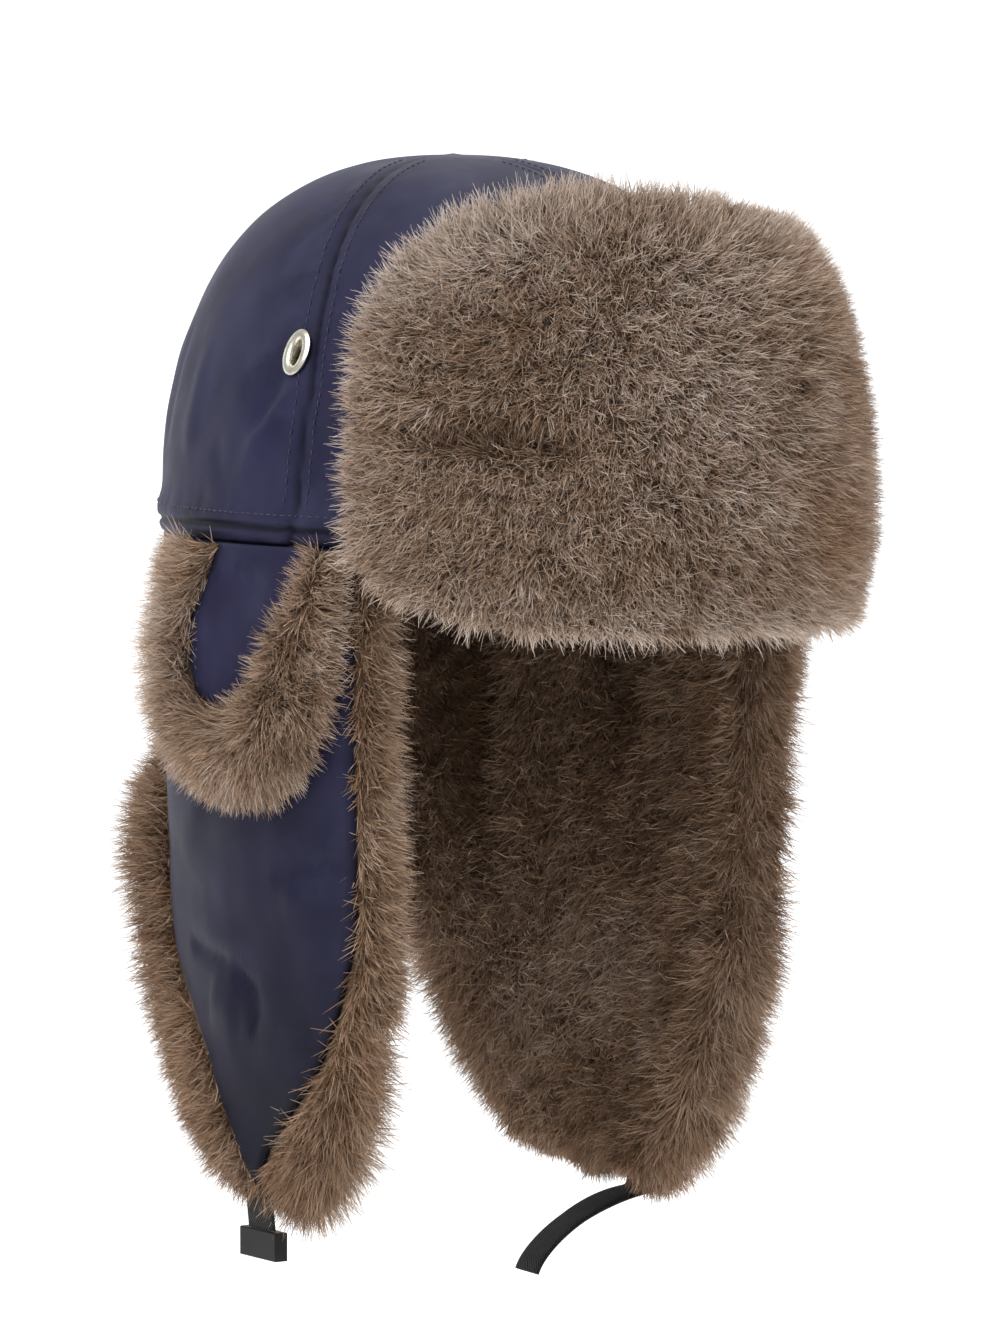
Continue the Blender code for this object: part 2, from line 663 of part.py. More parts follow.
def ribbon(name, path, across, material):
    """Flat strap of the strap's width and thickness along a path, with its way across at each point."""
    points = np.array([tuple(point) for point in path])
    across = np.array([tuple(way) for way in across])
    along = np.gradient(points, axis=0)
    along /= np.linalg.norm(along, axis=1)[:, None]
    normal = np.cross(along, across)
    normal /= np.linalg.norm(normal, axis=1)[:, None]
    sides = [points - across * STRAP_WIDTH / 2, points + across * STRAP_WIDTH / 2]
    face = np.stack([edge + normal * STRAP_THICKNESS / 2 for edge in sides], axis=1)
    back = np.stack([edge - normal * STRAP_THICKNESS / 2 for edge in sides], axis=1)
    return slab(name, face, back, material)


def make_right_strap(material):
    """Right strap end, straight down from the flap's tip to its buckle."""
    tip = -float(band_depth(-STRAP_TURN))
    heights = np.linspace(tip + STRAP_SEWN, tip - STRAP_DROP_RIGHT, 6)
    seats = [strap_seat(-1, height) for height in heights]
    return ribbon("strap_right", [seat for seat, _ in seats], [across for _, across in seats], material)


def make_left_strap(material):
    """Left strap end, bent in under the flap and hanging as a loose tail."""
    tip = -float(band_depth(STRAP_TURN))
    fur = -float(fur_depth(STRAP_TURN))
    head, across = strap_seat(1, tip + STRAP_SEWN)
    foot, _ = strap_seat(1, fur - STRAP_TAIL_START)
    heading = math.radians(STRAP_TAIL_HEADING)
    inward = Vector((math.cos(heading), math.sin(heading), 0))
    turned = Vector((math.sin(heading), -math.cos(heading), 0))
    path = [head + (foot - head) * step / 4 for step in range(3)]
    ways = [across] * len(path)
    steps = 6
    for step in range(steps + 1):
        share = step / steps
        reach = STRAP_TAIL_REACH * (1 - (1 - share) ** 1.35)
        fall = STRAP_TAIL_DROP * share**1.6
        path.append(foot + inward * reach - Vector((0, 0, fall)))
        ways.append(across.lerp(turned, min(1.0, share * 2)).normalized())
    return ribbon("strap_left", path, ways, material)


def make_buckle(material):
    """Plastic buckle half on the right strap: a rounded body with a mouth in its foot."""
    tip = -float(band_depth(-STRAP_TURN))
    seat, across = strap_seat(-1, tip - STRAP_DROP_RIGHT - GAP - BUCKLE_HEIGHT / 2)
    bpy.ops.mesh.primitive_cube_add(size=1.0)
    buckle = bpy.context.object
    buckle.name = "buckle_right"
    shape = bmesh.new()
    shape.from_mesh(buckle.data)
    bmesh.ops.scale(shape, vec=(BUCKLE_WIDTH, BUCKLE_DEPTH, BUCKLE_HEIGHT), verts=shape.verts)
    shape.normal_update()
    foot = [face for face in shape.faces if face.normal.z < -0.5]
    bmesh.ops.inset_individual(shape, faces=foot, thickness=BUCKLE_WALL)
    bmesh.ops.translate(shape, vec=(0, 0, BUCKLE_MOUTH), verts=foot[0].verts)
    shape.to_mesh(buckle.data)
    shape.free()
    buckle.data.materials.append(material)
    buckle.location = seat
    buckle.rotation_euler = (0, 0, math.atan2(across.y, across.x))
    edge = buckle.modifiers.new("edges", "BEVEL")
    edge.width = BUCKLE_WALL * 0.3
    edge.segments = 2
    return buckle


def build():
    clear_scene()
    nylon = finish("nylon_navy", 0.45, 0.0)
    fur = finish("fur_brown", 0.95, 0.0)
    metal = finish("metal_eyelet", 0.25, 1.0)
    webbing = finish("webbing_black", 0.75, 0.0)
    plastic = finish("plastic_black", 0.40, 0.0)
    crown = make_crown(nylon)
    for name, side in (("right", -1), ("left", 1)):
        cut_eyelet_hole(crown, side)
        make_eyelet("eyelet_" + name, side, metal)
        make_cover_shell("ear_cover_" + name + "_shell", side, nylon)
        make_cover_fur("ear_cover_" + name + "_fur", side, fur, seed=31 + side)
    make_band(nylon)
    make_lining(fur)
    make_front_backing(nylon)
    make_front_fur(fur)
    make_right_strap(webbing)
    make_left_strap(webbing)
    make_buckle(plastic)


build()
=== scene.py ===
# Bomber hat: navy nylon crown and flaps, grizzled brown fur, open chin strap
import json
import math

import bpy
import numpy as np
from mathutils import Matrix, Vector

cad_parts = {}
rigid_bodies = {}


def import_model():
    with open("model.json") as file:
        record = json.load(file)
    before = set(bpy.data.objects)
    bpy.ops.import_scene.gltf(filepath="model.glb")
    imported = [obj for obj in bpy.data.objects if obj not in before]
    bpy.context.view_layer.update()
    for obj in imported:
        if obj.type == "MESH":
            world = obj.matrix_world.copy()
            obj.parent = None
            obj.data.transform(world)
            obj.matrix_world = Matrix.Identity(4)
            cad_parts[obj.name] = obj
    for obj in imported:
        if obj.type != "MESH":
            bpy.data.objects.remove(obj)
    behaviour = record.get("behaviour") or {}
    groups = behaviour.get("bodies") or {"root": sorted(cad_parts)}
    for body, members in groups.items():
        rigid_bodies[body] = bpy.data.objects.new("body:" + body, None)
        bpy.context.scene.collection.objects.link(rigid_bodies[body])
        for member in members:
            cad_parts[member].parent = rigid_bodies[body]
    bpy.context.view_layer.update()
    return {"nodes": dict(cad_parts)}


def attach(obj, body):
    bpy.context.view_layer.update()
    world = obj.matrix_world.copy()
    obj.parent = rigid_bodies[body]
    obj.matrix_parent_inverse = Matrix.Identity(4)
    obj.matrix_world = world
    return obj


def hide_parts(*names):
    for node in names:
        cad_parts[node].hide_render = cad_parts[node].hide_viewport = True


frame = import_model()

# Camera of the photograph: turned 42 degrees to the wearer's right, a little above the brow. Its scale holds
# at the hat's middle, and the place of the hat's origin in the photograph sets where it looks
photoView = {
    "turn": -42.0, "rise": 4.5, "distance": 2.4, "metresPerPixel": 0.00031, "originPixel": (494, 530),
    "pixels": (1000, 1333), "sensor": 36,
}


# Way out from the hat, turned round from the front and raised, both in degrees
def wayOut(turn, rise):
    turn, rise = math.radians(turn), math.radians(rise)
    return Vector((math.sin(turn) * math.cos(rise), -math.cos(turn) * math.cos(rise), math.sin(rise)))


def placeCamera():
    turn = math.radians(photoView["turn"])
    back = wayOut(photoView["turn"], photoView["rise"])
    right = Vector((math.cos(turn), math.sin(turn), 0))
    up = back.cross(right)
    step = photoView["metresPerPixel"]
    wide, high = photoView["pixels"]
    pixelX, pixelY = photoView["originPixel"]
    target = right * (wide / 2 - pixelX) * step - up * (high / 2 - pixelY) * step
    camera = bpy.data.objects.new("camera", bpy.data.cameras.new("camera"))
    bpy.context.collection.objects.link(camera)
    camera.location = target + back * photoView["distance"]
    camera.rotation_euler = back.to_track_quat("Z", "Y").to_euler()
    camera.data.sensor_fit = "HORIZONTAL"
    camera.data.sensor_width = photoView["sensor"]
    camera.data.lens = photoView["sensor"] * photoView["distance"] / (wide * step)
    camera.data.clip_end = 30
    bpy.context.scene.camera = camera


placeCamera()
print("camera placed")

# Head form: the same sizes as the solids
form = {
    "halfWidth": 0.095, "halfLength": 0.112, "crownHeight": 0.116, "setBack": 0.019, "setBackPower": 1.3,
    "squareness": 2.35, "fullness": 2.1, "rollDepth": 0.0020, "rollHeight": 0.012, "sideSeam": 79.0,
    "frontForm": 0.147, "flapRight": 0.195, "flapLeft": 0.199, "flapLean": 0.09, "flapFlare": 0.010,
    "around": 0.104, "frontTurn": 71.0, "strapTurn": 100.0, "wall": 0.0020, "gap": 0.0003, "skinGap": 0.0008,
}
flapLength = (form["flapRight"] + form["flapLeft"]) / 2
flapSide = (form["flapLeft"] - form["flapRight"]) / 2
downWay = np.array([0.0, 0.0, -1.0])

# Places round half the band: 0 at a flap's front edge, 1 at its strap, 2 at the nape; depths in flap lengths
bandEdge = (
    (0.0, 0.600), (0.14, 0.720), (0.31, 0.815), (0.55, 0.890), (0.79, 0.955), (1.0, 1.000), (1.075, 0.915),
    (1.15, 0.820), (1.26, 0.730), (1.375, 0.660), (1.46, 0.570), (1.56, 0.445), (1.70, 0.350), (2.0, 0.320),
)
# How far the lining reaches past the band's edge, and the share by which it reaches further on the left
furMargin = (
    (0.0, 0.147), (0.31, 0.142), (0.55, 0.136), (0.79, 0.114), (1.0, 0.043), (1.075, 0.125), (1.15, 0.216),
    (1.26, 0.286), (1.375, 0.300), (1.46, 0.292), (1.56, 0.265), (1.70, 0.215), (2.0, 0.185),
)
furMarginSide = 0.08
# How far the lining's rim stands out past the band, in fur thicknesses
furRim = (
    (0.0, 0.17), (0.9, 0.17), (1.15, 0.38), (1.35, 0.50), (1.46, 0.66), (1.56, 0.90), (1.66, 1.15),
    (1.80, 1.15), (2.0, 0.95),
)


# Value of a table at a place: a cubic through its points, with each point's slope from its neighbours
def smoothTable(table, at):
    places, values = np.array(table, float).T
    slopes = np.gradient(values, places)
    at = np.clip(at, places[0], places[-1])
    left = np.clip(np.searchsorted(places, at) - 1, 0, len(places) - 2)
    span = places[left + 1] - places[left]
    share = (at - places[left]) / span
    start = (1 + 2 * share) * (1 - share) ** 2 * values[left] + share * (1 - share) ** 2 * slopes[left] * span
    end = share**2 * (3 - 2 * share) * values[left + 1] + share**2 * (share - 1) * slopes[left + 1] * span
    return start + end


# Point of the head ellipse: half sizes times a share, grown by out, at a turn from the front middle
def formPoint(turn, height, out, share, setBack=0.0):
    angle = np.radians(turn)
    across = (form["halfWidth"] * share + out) * np.sin(angle)
    along = -(form["halfLength"] * share + out) * np.cos(angle) + setBack
    return np.stack(np.broadcast_arrays(across, along, height), axis=-1).astype(float)


# Share of the ellipse at a dome height: (1 - up^fullness)^(1 / squareness)
def crownShare(height):
    up = np.clip(height / form["crownHeight"], 0, 1)
    return (1 - up ** form["fullness"]) ** (1 / form["squareness"])


# Point of the dome: the ellipse at its share, set back with height to the power setBackPower
def crownPoint(turn, height, out):
    setBack = form["setBack"] * np.clip(height / form["crownHeight"], 0, 1) ** form["setBackPower"]
    return formPoint(turn, height, out, crownShare(height), setBack)


# Share below the brow: the flaps flare as a half sine and close in with depth squared
def bandShare(height):
    down = np.clip(-height / flapLength, 0, None)
    return 1 - form["flapLean"] * down**2 + form["flapFlare"] * np.sin(np.pi * np.clip(down, 0, 1))


# Share that the standing front flap follows: a taller, fuller dome
def frontShare(height):
    up = np.clip(height / form["frontForm"], 0, 0.97)
    return (1 - up ** form["squareness"]) ** (1 / form["fullness"])


# Place round half the band: even steps from a flap's front edge to its strap, and on to the nape
def bandPlace(turn):
    return np.interp(np.abs(turn), (form["frontTurn"], form["strapTurn"], 180.0), (0.0, 1.0, 2.0))


# Depth of the band's edge: its table times a flap length that changes with the sine of the turn
def bandDepth(turn):
    return smoothTable(bandEdge, bandPlace(turn)) * (flapLength + flapSide * np.sin(np.radians(turn)))


# Depth of the lining's edge: the band's, and the margin in the same flap lengths
def furDepth(turn):
    sideways = np.sin(np.radians(turn))
    margin = smoothTable(furMargin, bandPlace(turn)) * (1 + furMarginSide * sideways)
    return bandDepth(turn) + margin * (flapLength + flapSide * sideways)


# Smooth noise from -1 to 1: random values at lattice corners, blended between them by 3t^2 - 2t^3
def softNoise(points, grain, seed):
    table = np.random.default_rng(seed).uniform(-1, 1, (32, 32, 32))
    at = np.asarray(points) / grain + 100.0
    cell = np.floor(at).astype(int)
    share = at - cell
    share = share * share * (3 - 2 * share)
    total = 0.0
    for corner in range(8):
        step = np.array([corner & 1, corner >> 1 & 1, corner >> 2])
        place = (cell + step) % 32
        weight = np.prod(np.where(step, share, 1 - share), axis=-1)
        total = total + weight * table[place[..., 0], place[..., 1], place[..., 2]]
    return total


# Height of a set of creases: each a ridge of bell section along a line, fading at its ends
def creases(across, height, table):
    total = np.zeros(np.broadcast(across, height).shape)
    for acrossA, heightA, acrossB, heightB, width, depth in table:
        way = np.array([acrossB - acrossA, heightB - heightA])
        length = np.hypot(*way)
        along = ((across - acrossA) * way[0] + (height - heightA) * way[1]) / length**2
        beside = ((across - acrossA) * way[1] - (height - heightA) * way[0]) / length
        fade = np.clip(1 - (2 * along - 1) ** 4, 0, 1) * (np.abs(along - 0.5) < 0.5)
        total += depth * np.exp(-((beside / width) ** 2)) * fade
    return total


# Ways made one long
def unit(ways):
    return ways / np.maximum(np.linalg.norm(ways, axis=-1, keepdims=True), 1e-12)


# Unit normals of a grid of points: the cross product of its two ways along, turned to the side of given ways
def gridNormals(grid, ways):
    normals = unit(np.cross(np.gradient(grid, axis=1), np.gradient(grid, axis=0)))
    return normals * np.sign(np.sum(normals * ways, axis=-1, keepdims=True))


# Ways straight out from the head's upright axis
def outFrom(points, turns, heights):
    return unit(points - formPoint(turns, heights, 0.0, 0.0))


# Level ways in which the turn grows
def levelWay(turns):
    angle = np.radians(turns)
    return np.stack([np.cos(angle), np.sin(angle), np.zeros_like(angle)], -1)


# Four corners of each cell of a grid of points; its columns or rows meet end to start where they are closed
def gridQuads(rows, columns, start=0, closed=False, closedRows=False):
    lastRow, lastColumn = rows if closedRows else rows - 1, columns if closed else columns - 1
    row, column = np.meshgrid(np.arange(lastRow), np.arange(lastColumn), indexing="ij")
    below, after = (row + 1) % rows, (column + 1) % columns
    quads = np.stack([
        row * columns + column, row * columns + after, below * columns + after, below * columns + column,
    ], -1)
    return quads.reshape(-1, 4) + start


# Mesh from arrays of points and of faces; a closed one is turned outwards by the sign of its volume
def addMesh(name, points, faceSets, closed=True, smooth=True):
    points = np.asarray(points, float).reshape(-1, 3)
    if closed:
        fans = [faces[:, [0, i, i + 1]] for faces in faceSets for i in range(1, faces.shape[1] - 1)]
        first, second, third = (points[np.concatenate(fans)[:, i]] for i in range(3))
        if np.einsum("ij,ij->", first, np.cross(second, third)) < 0:
            faceSets = [faces[:, ::-1] for faces in faceSets]
    mesh = bpy.data.meshes.new(name)
    mesh.vertices.add(len(points))
    mesh.vertices.foreach_set("co", points.astype(np.float32).ravel())
    sizes = np.concatenate([np.full(len(faces), faces.shape[1]) for faces in faceSets])
    corners = np.concatenate([faces.ravel() for faces in faceSets]).astype(np.int32)
    mesh.loops.add(len(corners))
    mesh.loops.foreach_set("vertex_index", corners)
    mesh.polygons.add(len(sizes))
    mesh.polygons.foreach_set("loop_start", np.concatenate([[0], np.cumsum(sizes)[:-1]]).astype(np.int32))
    mesh.update(calc_edges=True)
    if smooth:
        mesh.shade_smooth()
    piece = bpy.data.objects.new(name, mesh)
    bpy.context.collection.objects.link(piece)
    return piece


# Plate between two grids of one size, joined round their borders
def addSlab(name, face, back):
    rows, columns = face.shape[:2]
    second = rows * columns
    loop = np.concatenate([
        np.arange(columns), np.arange(1, rows) * columns + columns - 1,
        (rows - 1) * columns + np.arange(columns - 2, -1, -1), np.arange(rows - 2, 0, -1) * columns,
    ])
    after = np.roll(loop, -1)
    rim = np.stack([loop, after, second + after, second + loop], -1)
    faces, backs = gridQuads(rows, columns), gridQuads(rows, columns, second)
    quads = np.concatenate([faces, backs[:, ::-1], rim[:, ::-1]])
    return addMesh(name, np.concatenate([face.reshape(-1, 3), back.reshape(-1, 3)]), [quads])


def setMark(piece, name, values):
    mark = piece.data.attributes.new(name, "FLOAT", "POINT")
    mark.data.foreach_set("value", np.asarray(values, np.float32).ravel())


def dress(piece, material, replaced=()):
    piece.data.materials.append(material)
    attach(piece, "root")
    if replaced:
        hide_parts(*replaced)
    return piece


# Materials: the node helpers, then each finish


def newGroup(name, inputs, outputs):
    group = bpy.data.node_groups.new(name, "ShaderNodeTree")
    for label, kind, value in inputs:
        socket = group.interface.new_socket(label, in_out="INPUT", socket_type=kind)
        if value is not None:
            socket.default_value = value
    for label, kind in outputs:
        group.interface.new_socket(label, in_out="OUTPUT", socket_type=kind)
    return group, group.nodes.new("NodeGroupInput"), group.nodes.new("NodeGroupOutput")


def mathNode(tree, operation, first, second=None, clamp=False):
    node = tree.nodes.new("ShaderNodeMath")
    node.operation = operation
    node.use_clamp = clamp
    for socket, value in zip(node.inputs, (first, second)):
        if isinstance(value, bpy.types.NodeSocket):
            tree.links.new(value, socket)
        elif value is not None:
            socket.default_value = value
    return node.outputs[0]


# Fixed values on a node's own sockets
def setSockets(node, values):
    for label, value in values.items():
        node.inputs[label].default_value = value


def noiseNode(tree, vector, scale, detail=2.0, roughness=0.5):
    node = tree.nodes.new("ShaderNodeTexNoise")
    setSockets(node, {"Scale": scale, "Detail": detail, "Roughness": roughness})
    tree.links.new(vector, node.inputs["Vector"])
    return node.outputs["Fac"]


def mixColour(tree, factor, first, second):
    node = tree.nodes.new("ShaderNodeMix")
    node.data_type = "RGBA"
    for socket, value in ((node.inputs[0], factor), (node.inputs[6], first), (node.inputs[7], second)):
        if isinstance(value, bpy.types.NodeSocket):
            tree.links.new(value, socket)
        else:
            socket.default_value = value
    return node.outputs[2]


def spread(tree, value, low, high, toLow=0.0, toHigh=1.0):
    node = tree.nodes.new("ShaderNodeMapRange")
    setSockets(node, {"From Min": low, "From Max": high, "To Min": toLow, "To Max": toHigh})
    tree.links.new(value, node.inputs["Value"])
    return node.outputs["Result"]


# Plain weave: threads each way as sine ridges on two of the cloth's directions, with a soft mottle over them
def makeWeaveGroup():
    group, given, out = newGroup(
        "wovenCloth",
        [("Vector", "NodeSocketVector", None), ("Threads", "NodeSocketFloat", 15000.0)],
        [("Height", "NodeSocketFloat"), ("Mottle", "NodeSocketFloat")],
    )
    split = group.nodes.new("ShaderNodeSeparateXYZ")
    group.links.new(given.outputs["Vector"], split.inputs[0])
    diagonal = mathNode(group, "ADD", split.outputs["X"], split.outputs["Y"])
    upright = mathNode(group, "MULTIPLY", split.outputs["Z"], given.outputs["Threads"])
    level = mathNode(group, "MULTIPLY", diagonal, given.outputs["Threads"])
    woven = mathNode(group, "MULTIPLY", mathNode(group, "SINE", upright), mathNode(group, "SINE", level))
    fine = noiseNode(group, given.outputs["Vector"], 900.0, 3.0, 0.6)
    group.links.new(mathNode(group, "ADD", woven, fine), out.inputs["Height"])
    group.links.new(noiseNode(group, given.outputs["Vector"], 45.0, 4.0, 0.6), out.inputs["Mottle"])
    return group


weaveGroup = makeWeaveGroup()


def objectCoords(tree):
    return tree.nodes.new("ShaderNodeTexCoord").outputs["Object"]


def markNode(tree, name):
    node = tree.nodes.new("ShaderNodeAttribute")
    node.attribute_name = name
    return node.outputs["Fac"]


def useGroup(tree, group, vector):
    node = tree.nodes.new("ShaderNodeGroup")
    node.node_tree = group
    tree.links.new(vector, node.inputs["Vector"])
    return node


def addBump(tree, shader, height, strength, distance):
    bump = tree.nodes.new("ShaderNodeBump")
    setSockets(bump, {"Strength": strength, "Distance": distance})
    tree.links.new(height, bump.inputs["Height"])
    tree.links.new(bump.outputs["Normal"], shader.inputs["Normal"])


def newMaterial(name):
    material = bpy.data.materials.new(name)
    material.use_nodes = True
    tree = material.node_tree
    return material, tree, tree.nodes["Principled BSDF"]


# groove: near-black painted shade, mixed in by the mark 'seam'
nylonLook = {
    "deep": (0.0105, 0.0100, 0.0290, 1), "base": (0.0190, 0.0185, 0.0490, 1),
    "worn": (0.0370, 0.0370, 0.0800, 1), "groove": (0.0022, 0.0022, 0.0060, 1),
    "blotches": 28.0, "wornShare": 0.55, "paintedShadeShare": 0.85, "roughness": (0.42, 0.58), "specular": 0.10,
    "sheen": 0.02, "weave": 0.30,
}


# Nylon: navy with soft paler blotches, painted shade mixed in by the mark 'seam' (seam valleys, the brow
# groove, hems, cover edges and the flaps' lower part), a satin gloss and a fine weave
def makeNylon():
    material, tree, shader = newMaterial("nylonNavy")
    coords = objectCoords(tree)
    weave = useGroup(tree, weaveGroup, coords)
    blotch = spread(tree, noiseNode(tree, coords, nylonLook["blotches"], 3.0, 0.55), 0.35, 0.65)
    colour = mixColour(tree, blotch, nylonLook["deep"], nylonLook["base"])
    pale = spread(tree, weave.outputs["Mottle"], 0.50, 0.75)
    worn = mathNode(tree, "MULTIPLY", pale, nylonLook["wornShare"])
    colour = mixColour(tree, worn, colour, nylonLook["worn"])
    # painted shade: the mark 'seam' mixes in the near-black groove colour
    groove = mathNode(tree, "MULTIPLY", markNode(tree, "seam"), nylonLook["paintedShadeShare"], clamp=True)
    colour = mixColour(tree, groove, colour, nylonLook["groove"])
    tree.links.new(colour, shader.inputs["Base Color"])
    gloss = spread(tree, weave.outputs["Mottle"], 0.3, 0.7, *nylonLook["roughness"])
    tree.links.new(gloss, shader.inputs["Roughness"])
    setSockets(shader, {
        "Specular IOR Level": nylonLook["specular"], "Sheen Weight": nylonLook["sheen"],
        "Sheen Roughness": 0.5,
    })
    addBump(tree, shader, weave.outputs["Height"], nylonLook["weave"], 0.00006)
    return material


furLook = {
    "root": (0.120, 0.072, 0.044, 1), "shaft": (0.330, 0.222, 0.148, 1), "band": (0.540, 0.400, 0.290, 1),
    "tip": (0.200, 0.125, 0.078, 1), "pale": (0.760, 0.680, 0.610, 1), "rust": (0.390, 0.200, 0.085, 1),
    "dark": (0.048, 0.026, 0.015, 1), "paleShare": 0.8, "darkShare": 0.85, "rustShare": 0.7,
}


# Fur hair: dark at the root, brown along the shaft, a pale band near the end and a darker tip, each hair a
# little different; the mark "tone" turns a region paler or darker and "rust" turns it red-brown
def makeFur():
    material, tree, shader = newMaterial("furBrown")
    along, chance, tone, rust = (markNode(tree, name) for name in ("along", "chance", "tone", "rust"))
    shaft = spread(tree, along, 0.0, 0.45)
    banded = mathNode(tree, "MULTIPLY", spread(tree, along, 0.35, 0.8), spread(tree, chance, 0.15, 0.75))
    ticked = mathNode(tree, "MULTIPLY", spread(tree, along, 0.75, 1.0), spread(tree, chance, 0.55, 0.2))
    paler = mathNode(tree, "MULTIPLY", spread(tree, tone, 0.0, 1.0), spread(tree, along, 0.1, 0.8))
    paler = mathNode(tree, "MULTIPLY", paler, furLook["paleShare"])
    darker = mathNode(tree, "MULTIPLY", spread(tree, tone, 0.0, -1.0), furLook["darkShare"])
    rusty = mathNode(tree, "MULTIPLY", rust, furLook["rustShare"], clamp=True)
    layers = {"shaft": shaft, "band": banded, "tip": ticked, "pale": paler, "dark": darker, "rust": rusty}
    colour = furLook["root"]
    for name, share in layers.items():
        colour = mixColour(tree, share, colour, furLook[name])
    tree.links.new(colour, shader.inputs["Base Color"])
    setSockets(shader, {"Roughness": 0.62, "Specular IOR Level": 0.25})
    return material


# Two tones of each plainer material, mixed by its own noise
plainTones = {
    "leather": ((0.070, 0.044, 0.028, 1), (0.160, 0.104, 0.068, 1)),
    "metal": ((0.80, 0.77, 0.66, 1), (0.45, 0.41, 0.32, 1)),
    "webbing": ((0.0045, 0.0045, 0.0050, 1), (0.0130, 0.0130, 0.0140, 1)),
    "plastic": ((0.0030, 0.0030, 0.0034, 1), (0.0085, 0.0085, 0.0090, 1)),
    "thread": ((0.014, 0.014, 0.032, 1), (0.045, 0.045, 0.080, 1)),
}


def paintTones(tree, shader, share, name):
    tree.links.new(mixColour(tree, share, *plainTones[name]), shader.inputs["Base Color"])


# Leather under the hair, nearly hidden: dark, with a matted mottle
def makeUnderFur():
    material, tree, shader = newMaterial("underFur")
    mat = spread(tree, noiseNode(tree, objectCoords(tree), 220.0, 4.0, 0.7), 0.35, 0.7)
    paintTones(tree, shader, mat, "leather")
    setSockets(shader, {"Roughness": 0.95})
    addBump(tree, shader, mat, 0.8, 0.0008)
    return material


# Plated metal: brushed by fine noise, dull in its hollows
def makeMetal():
    material, tree, shader = newMaterial("eyeletMetal")
    coords = objectCoords(tree)
    brushed = noiseNode(tree, coords, 1800.0)
    tarnish = spread(tree, noiseNode(tree, coords, 260.0, 4.0), 0.4, 0.75)
    paintTones(tree, shader, tarnish, "metal")
    tree.links.new(spread(tree, tarnish, 0.0, 1.0, 0.22, 0.42), shader.inputs["Roughness"])
    setSockets(shader, {"Metallic": 1.0})
    addBump(tree, shader, brushed, 0.15, 0.00005)
    return material


# Webbing: the product of a sine along the strap, its ribs, and a sine across it, its threads
def makeWebbing():
    material, tree, shader = newMaterial("webbingBlack")
    ribs = mathNode(tree, "SINE", mathNode(tree, "MULTIPLY", markNode(tree, "run"), 4800.0))
    threads = mathNode(tree, "SINE", mathNode(tree, "MULTIPLY", markNode(tree, "across"), 5200.0))
    dust = spread(tree, noiseNode(tree, objectCoords(tree), 300.0, 3.0), 0.4, 0.8)
    paintTones(tree, shader, dust, "webbing")
    setSockets(shader, {"Roughness": 0.72, "Specular IOR Level": 0.25, "Sheen Weight": 0.04})
    addBump(tree, shader, mathNode(tree, "MULTIPLY", ribs, threads), 0.8, 0.00025)
    return material


# Moulded plastic: near black with a faint spark-eroded grain
def makePlastic():
    material, tree, shader = newMaterial("buckleBlack")
    haze = spread(tree, noiseNode(tree, objectCoords(tree), 120.0, 3.0), 0.4, 0.8)
    paintTones(tree, shader, haze, "plastic")
    setSockets(shader, {"Roughness": 0.46, "Specular IOR Level": 0.20})
    addBump(tree, shader, noiseNode(tree, objectCoords(tree), 2600.0), 0.2, 0.00006)
    return material


# Sewing thread: navy, paler where it twists
def makeThread():
    material, tree, shader = newMaterial("navyThread")
    paintTones(tree, shader, noiseNode(tree, objectCoords(tree), 2400.0), "thread")
    setSockets(shader, {"Roughness": 0.5})
    return material


nylon, fur, underFur, metal = makeNylon(), makeFur(), makeUnderFur(), makeMetal()
webbing, plastic, thread = makeWebbing(), makePlastic(), makeThread()
print("materials made")

# Crown
crownShape = {
    "columns": 288, "climbs": 74, "climbPower": 0.9, "rollRows": 17, "rollTop": 0.013, "domeStart": 0.0142,
    "innerStart": 0.006, "innerEvery": 4, "cap": 0.0004, "innerSink": 0.0015,
    "seamDepth": 0.0011, "seamWidth": 0.0012, "seamSplay": 3.5, "splayHeight": 0.045, "allowance": 0.0004,
    "allowanceAt": 0.0045, "allowanceWidth": 0.0025, "pucker": 0.00030, "puckerLength": 0.0065,
    "puckerFade": 0.006, "browGroove": 0.0038, "grooveDepth": 0.0015, "grooveWidth": 0.0010,
    "grooveWander": 0.0010, "gather": 0.00018, "gatherPitch": 0.0011, "gatherHeight": 0.010,
    "gatherReach": 0.006, "billow": 0.0010, "billowGrain": 0.034, "crumple": 0.00035, "crumpleGrain": 0.011,
    "clearFrom": 0.012, "clearRise": 0.02,
}
# Creases in the crown: turn in metres round the brow and height of each end, width, rise
crownCreases = (
    (-0.1500, 0.0500, -0.1760, 0.0130, 0.0032, 0.0016),
    (-0.1540, 0.0515, -0.1650, 0.0330, 0.0030, -0.0018),
    (-0.1405, 0.0460, -0.1370, 0.0120, 0.0030, 0.0011),
    (-0.1440, 0.0440, -0.1480, 0.0140, 0.0026, 0.0009),
    (-0.1850, 0.0300, -0.1800, 0.0120, 0.0030, -0.0008),
    (-0.2000, 0.060, -0.2050, 0.020, 0.0045, 0.0008),
    (-0.2280, 0.066, -0.2320, 0.022, 0.0050, -0.0009),
    (-0.1384, 0.075, -0.1250, 0.098, 0.0060, 0.0010),
    (-0.1000, 0.100, -0.0700, 0.109, 0.0050, 0.0010),
    (0.1520, 0.050, 0.1700, 0.016, 0.0055, 0.0012),
    (0.1960, 0.066, 0.2040, 0.020, 0.0045, -0.0009),
    (0.2500, 0.070, 0.2620, 0.018, 0.0060, 0.0010),
    (0.2900, 0.062, 0.2840, 0.020, 0.0050, -0.0008),
)


# The side seam splays back towards the brow
def sideSeamTurn(height):
    low = np.clip(1 - height / crownShape["splayHeight"], 0, 1)
    return form["sideSeam"] + crownShape["seamSplay"] * low
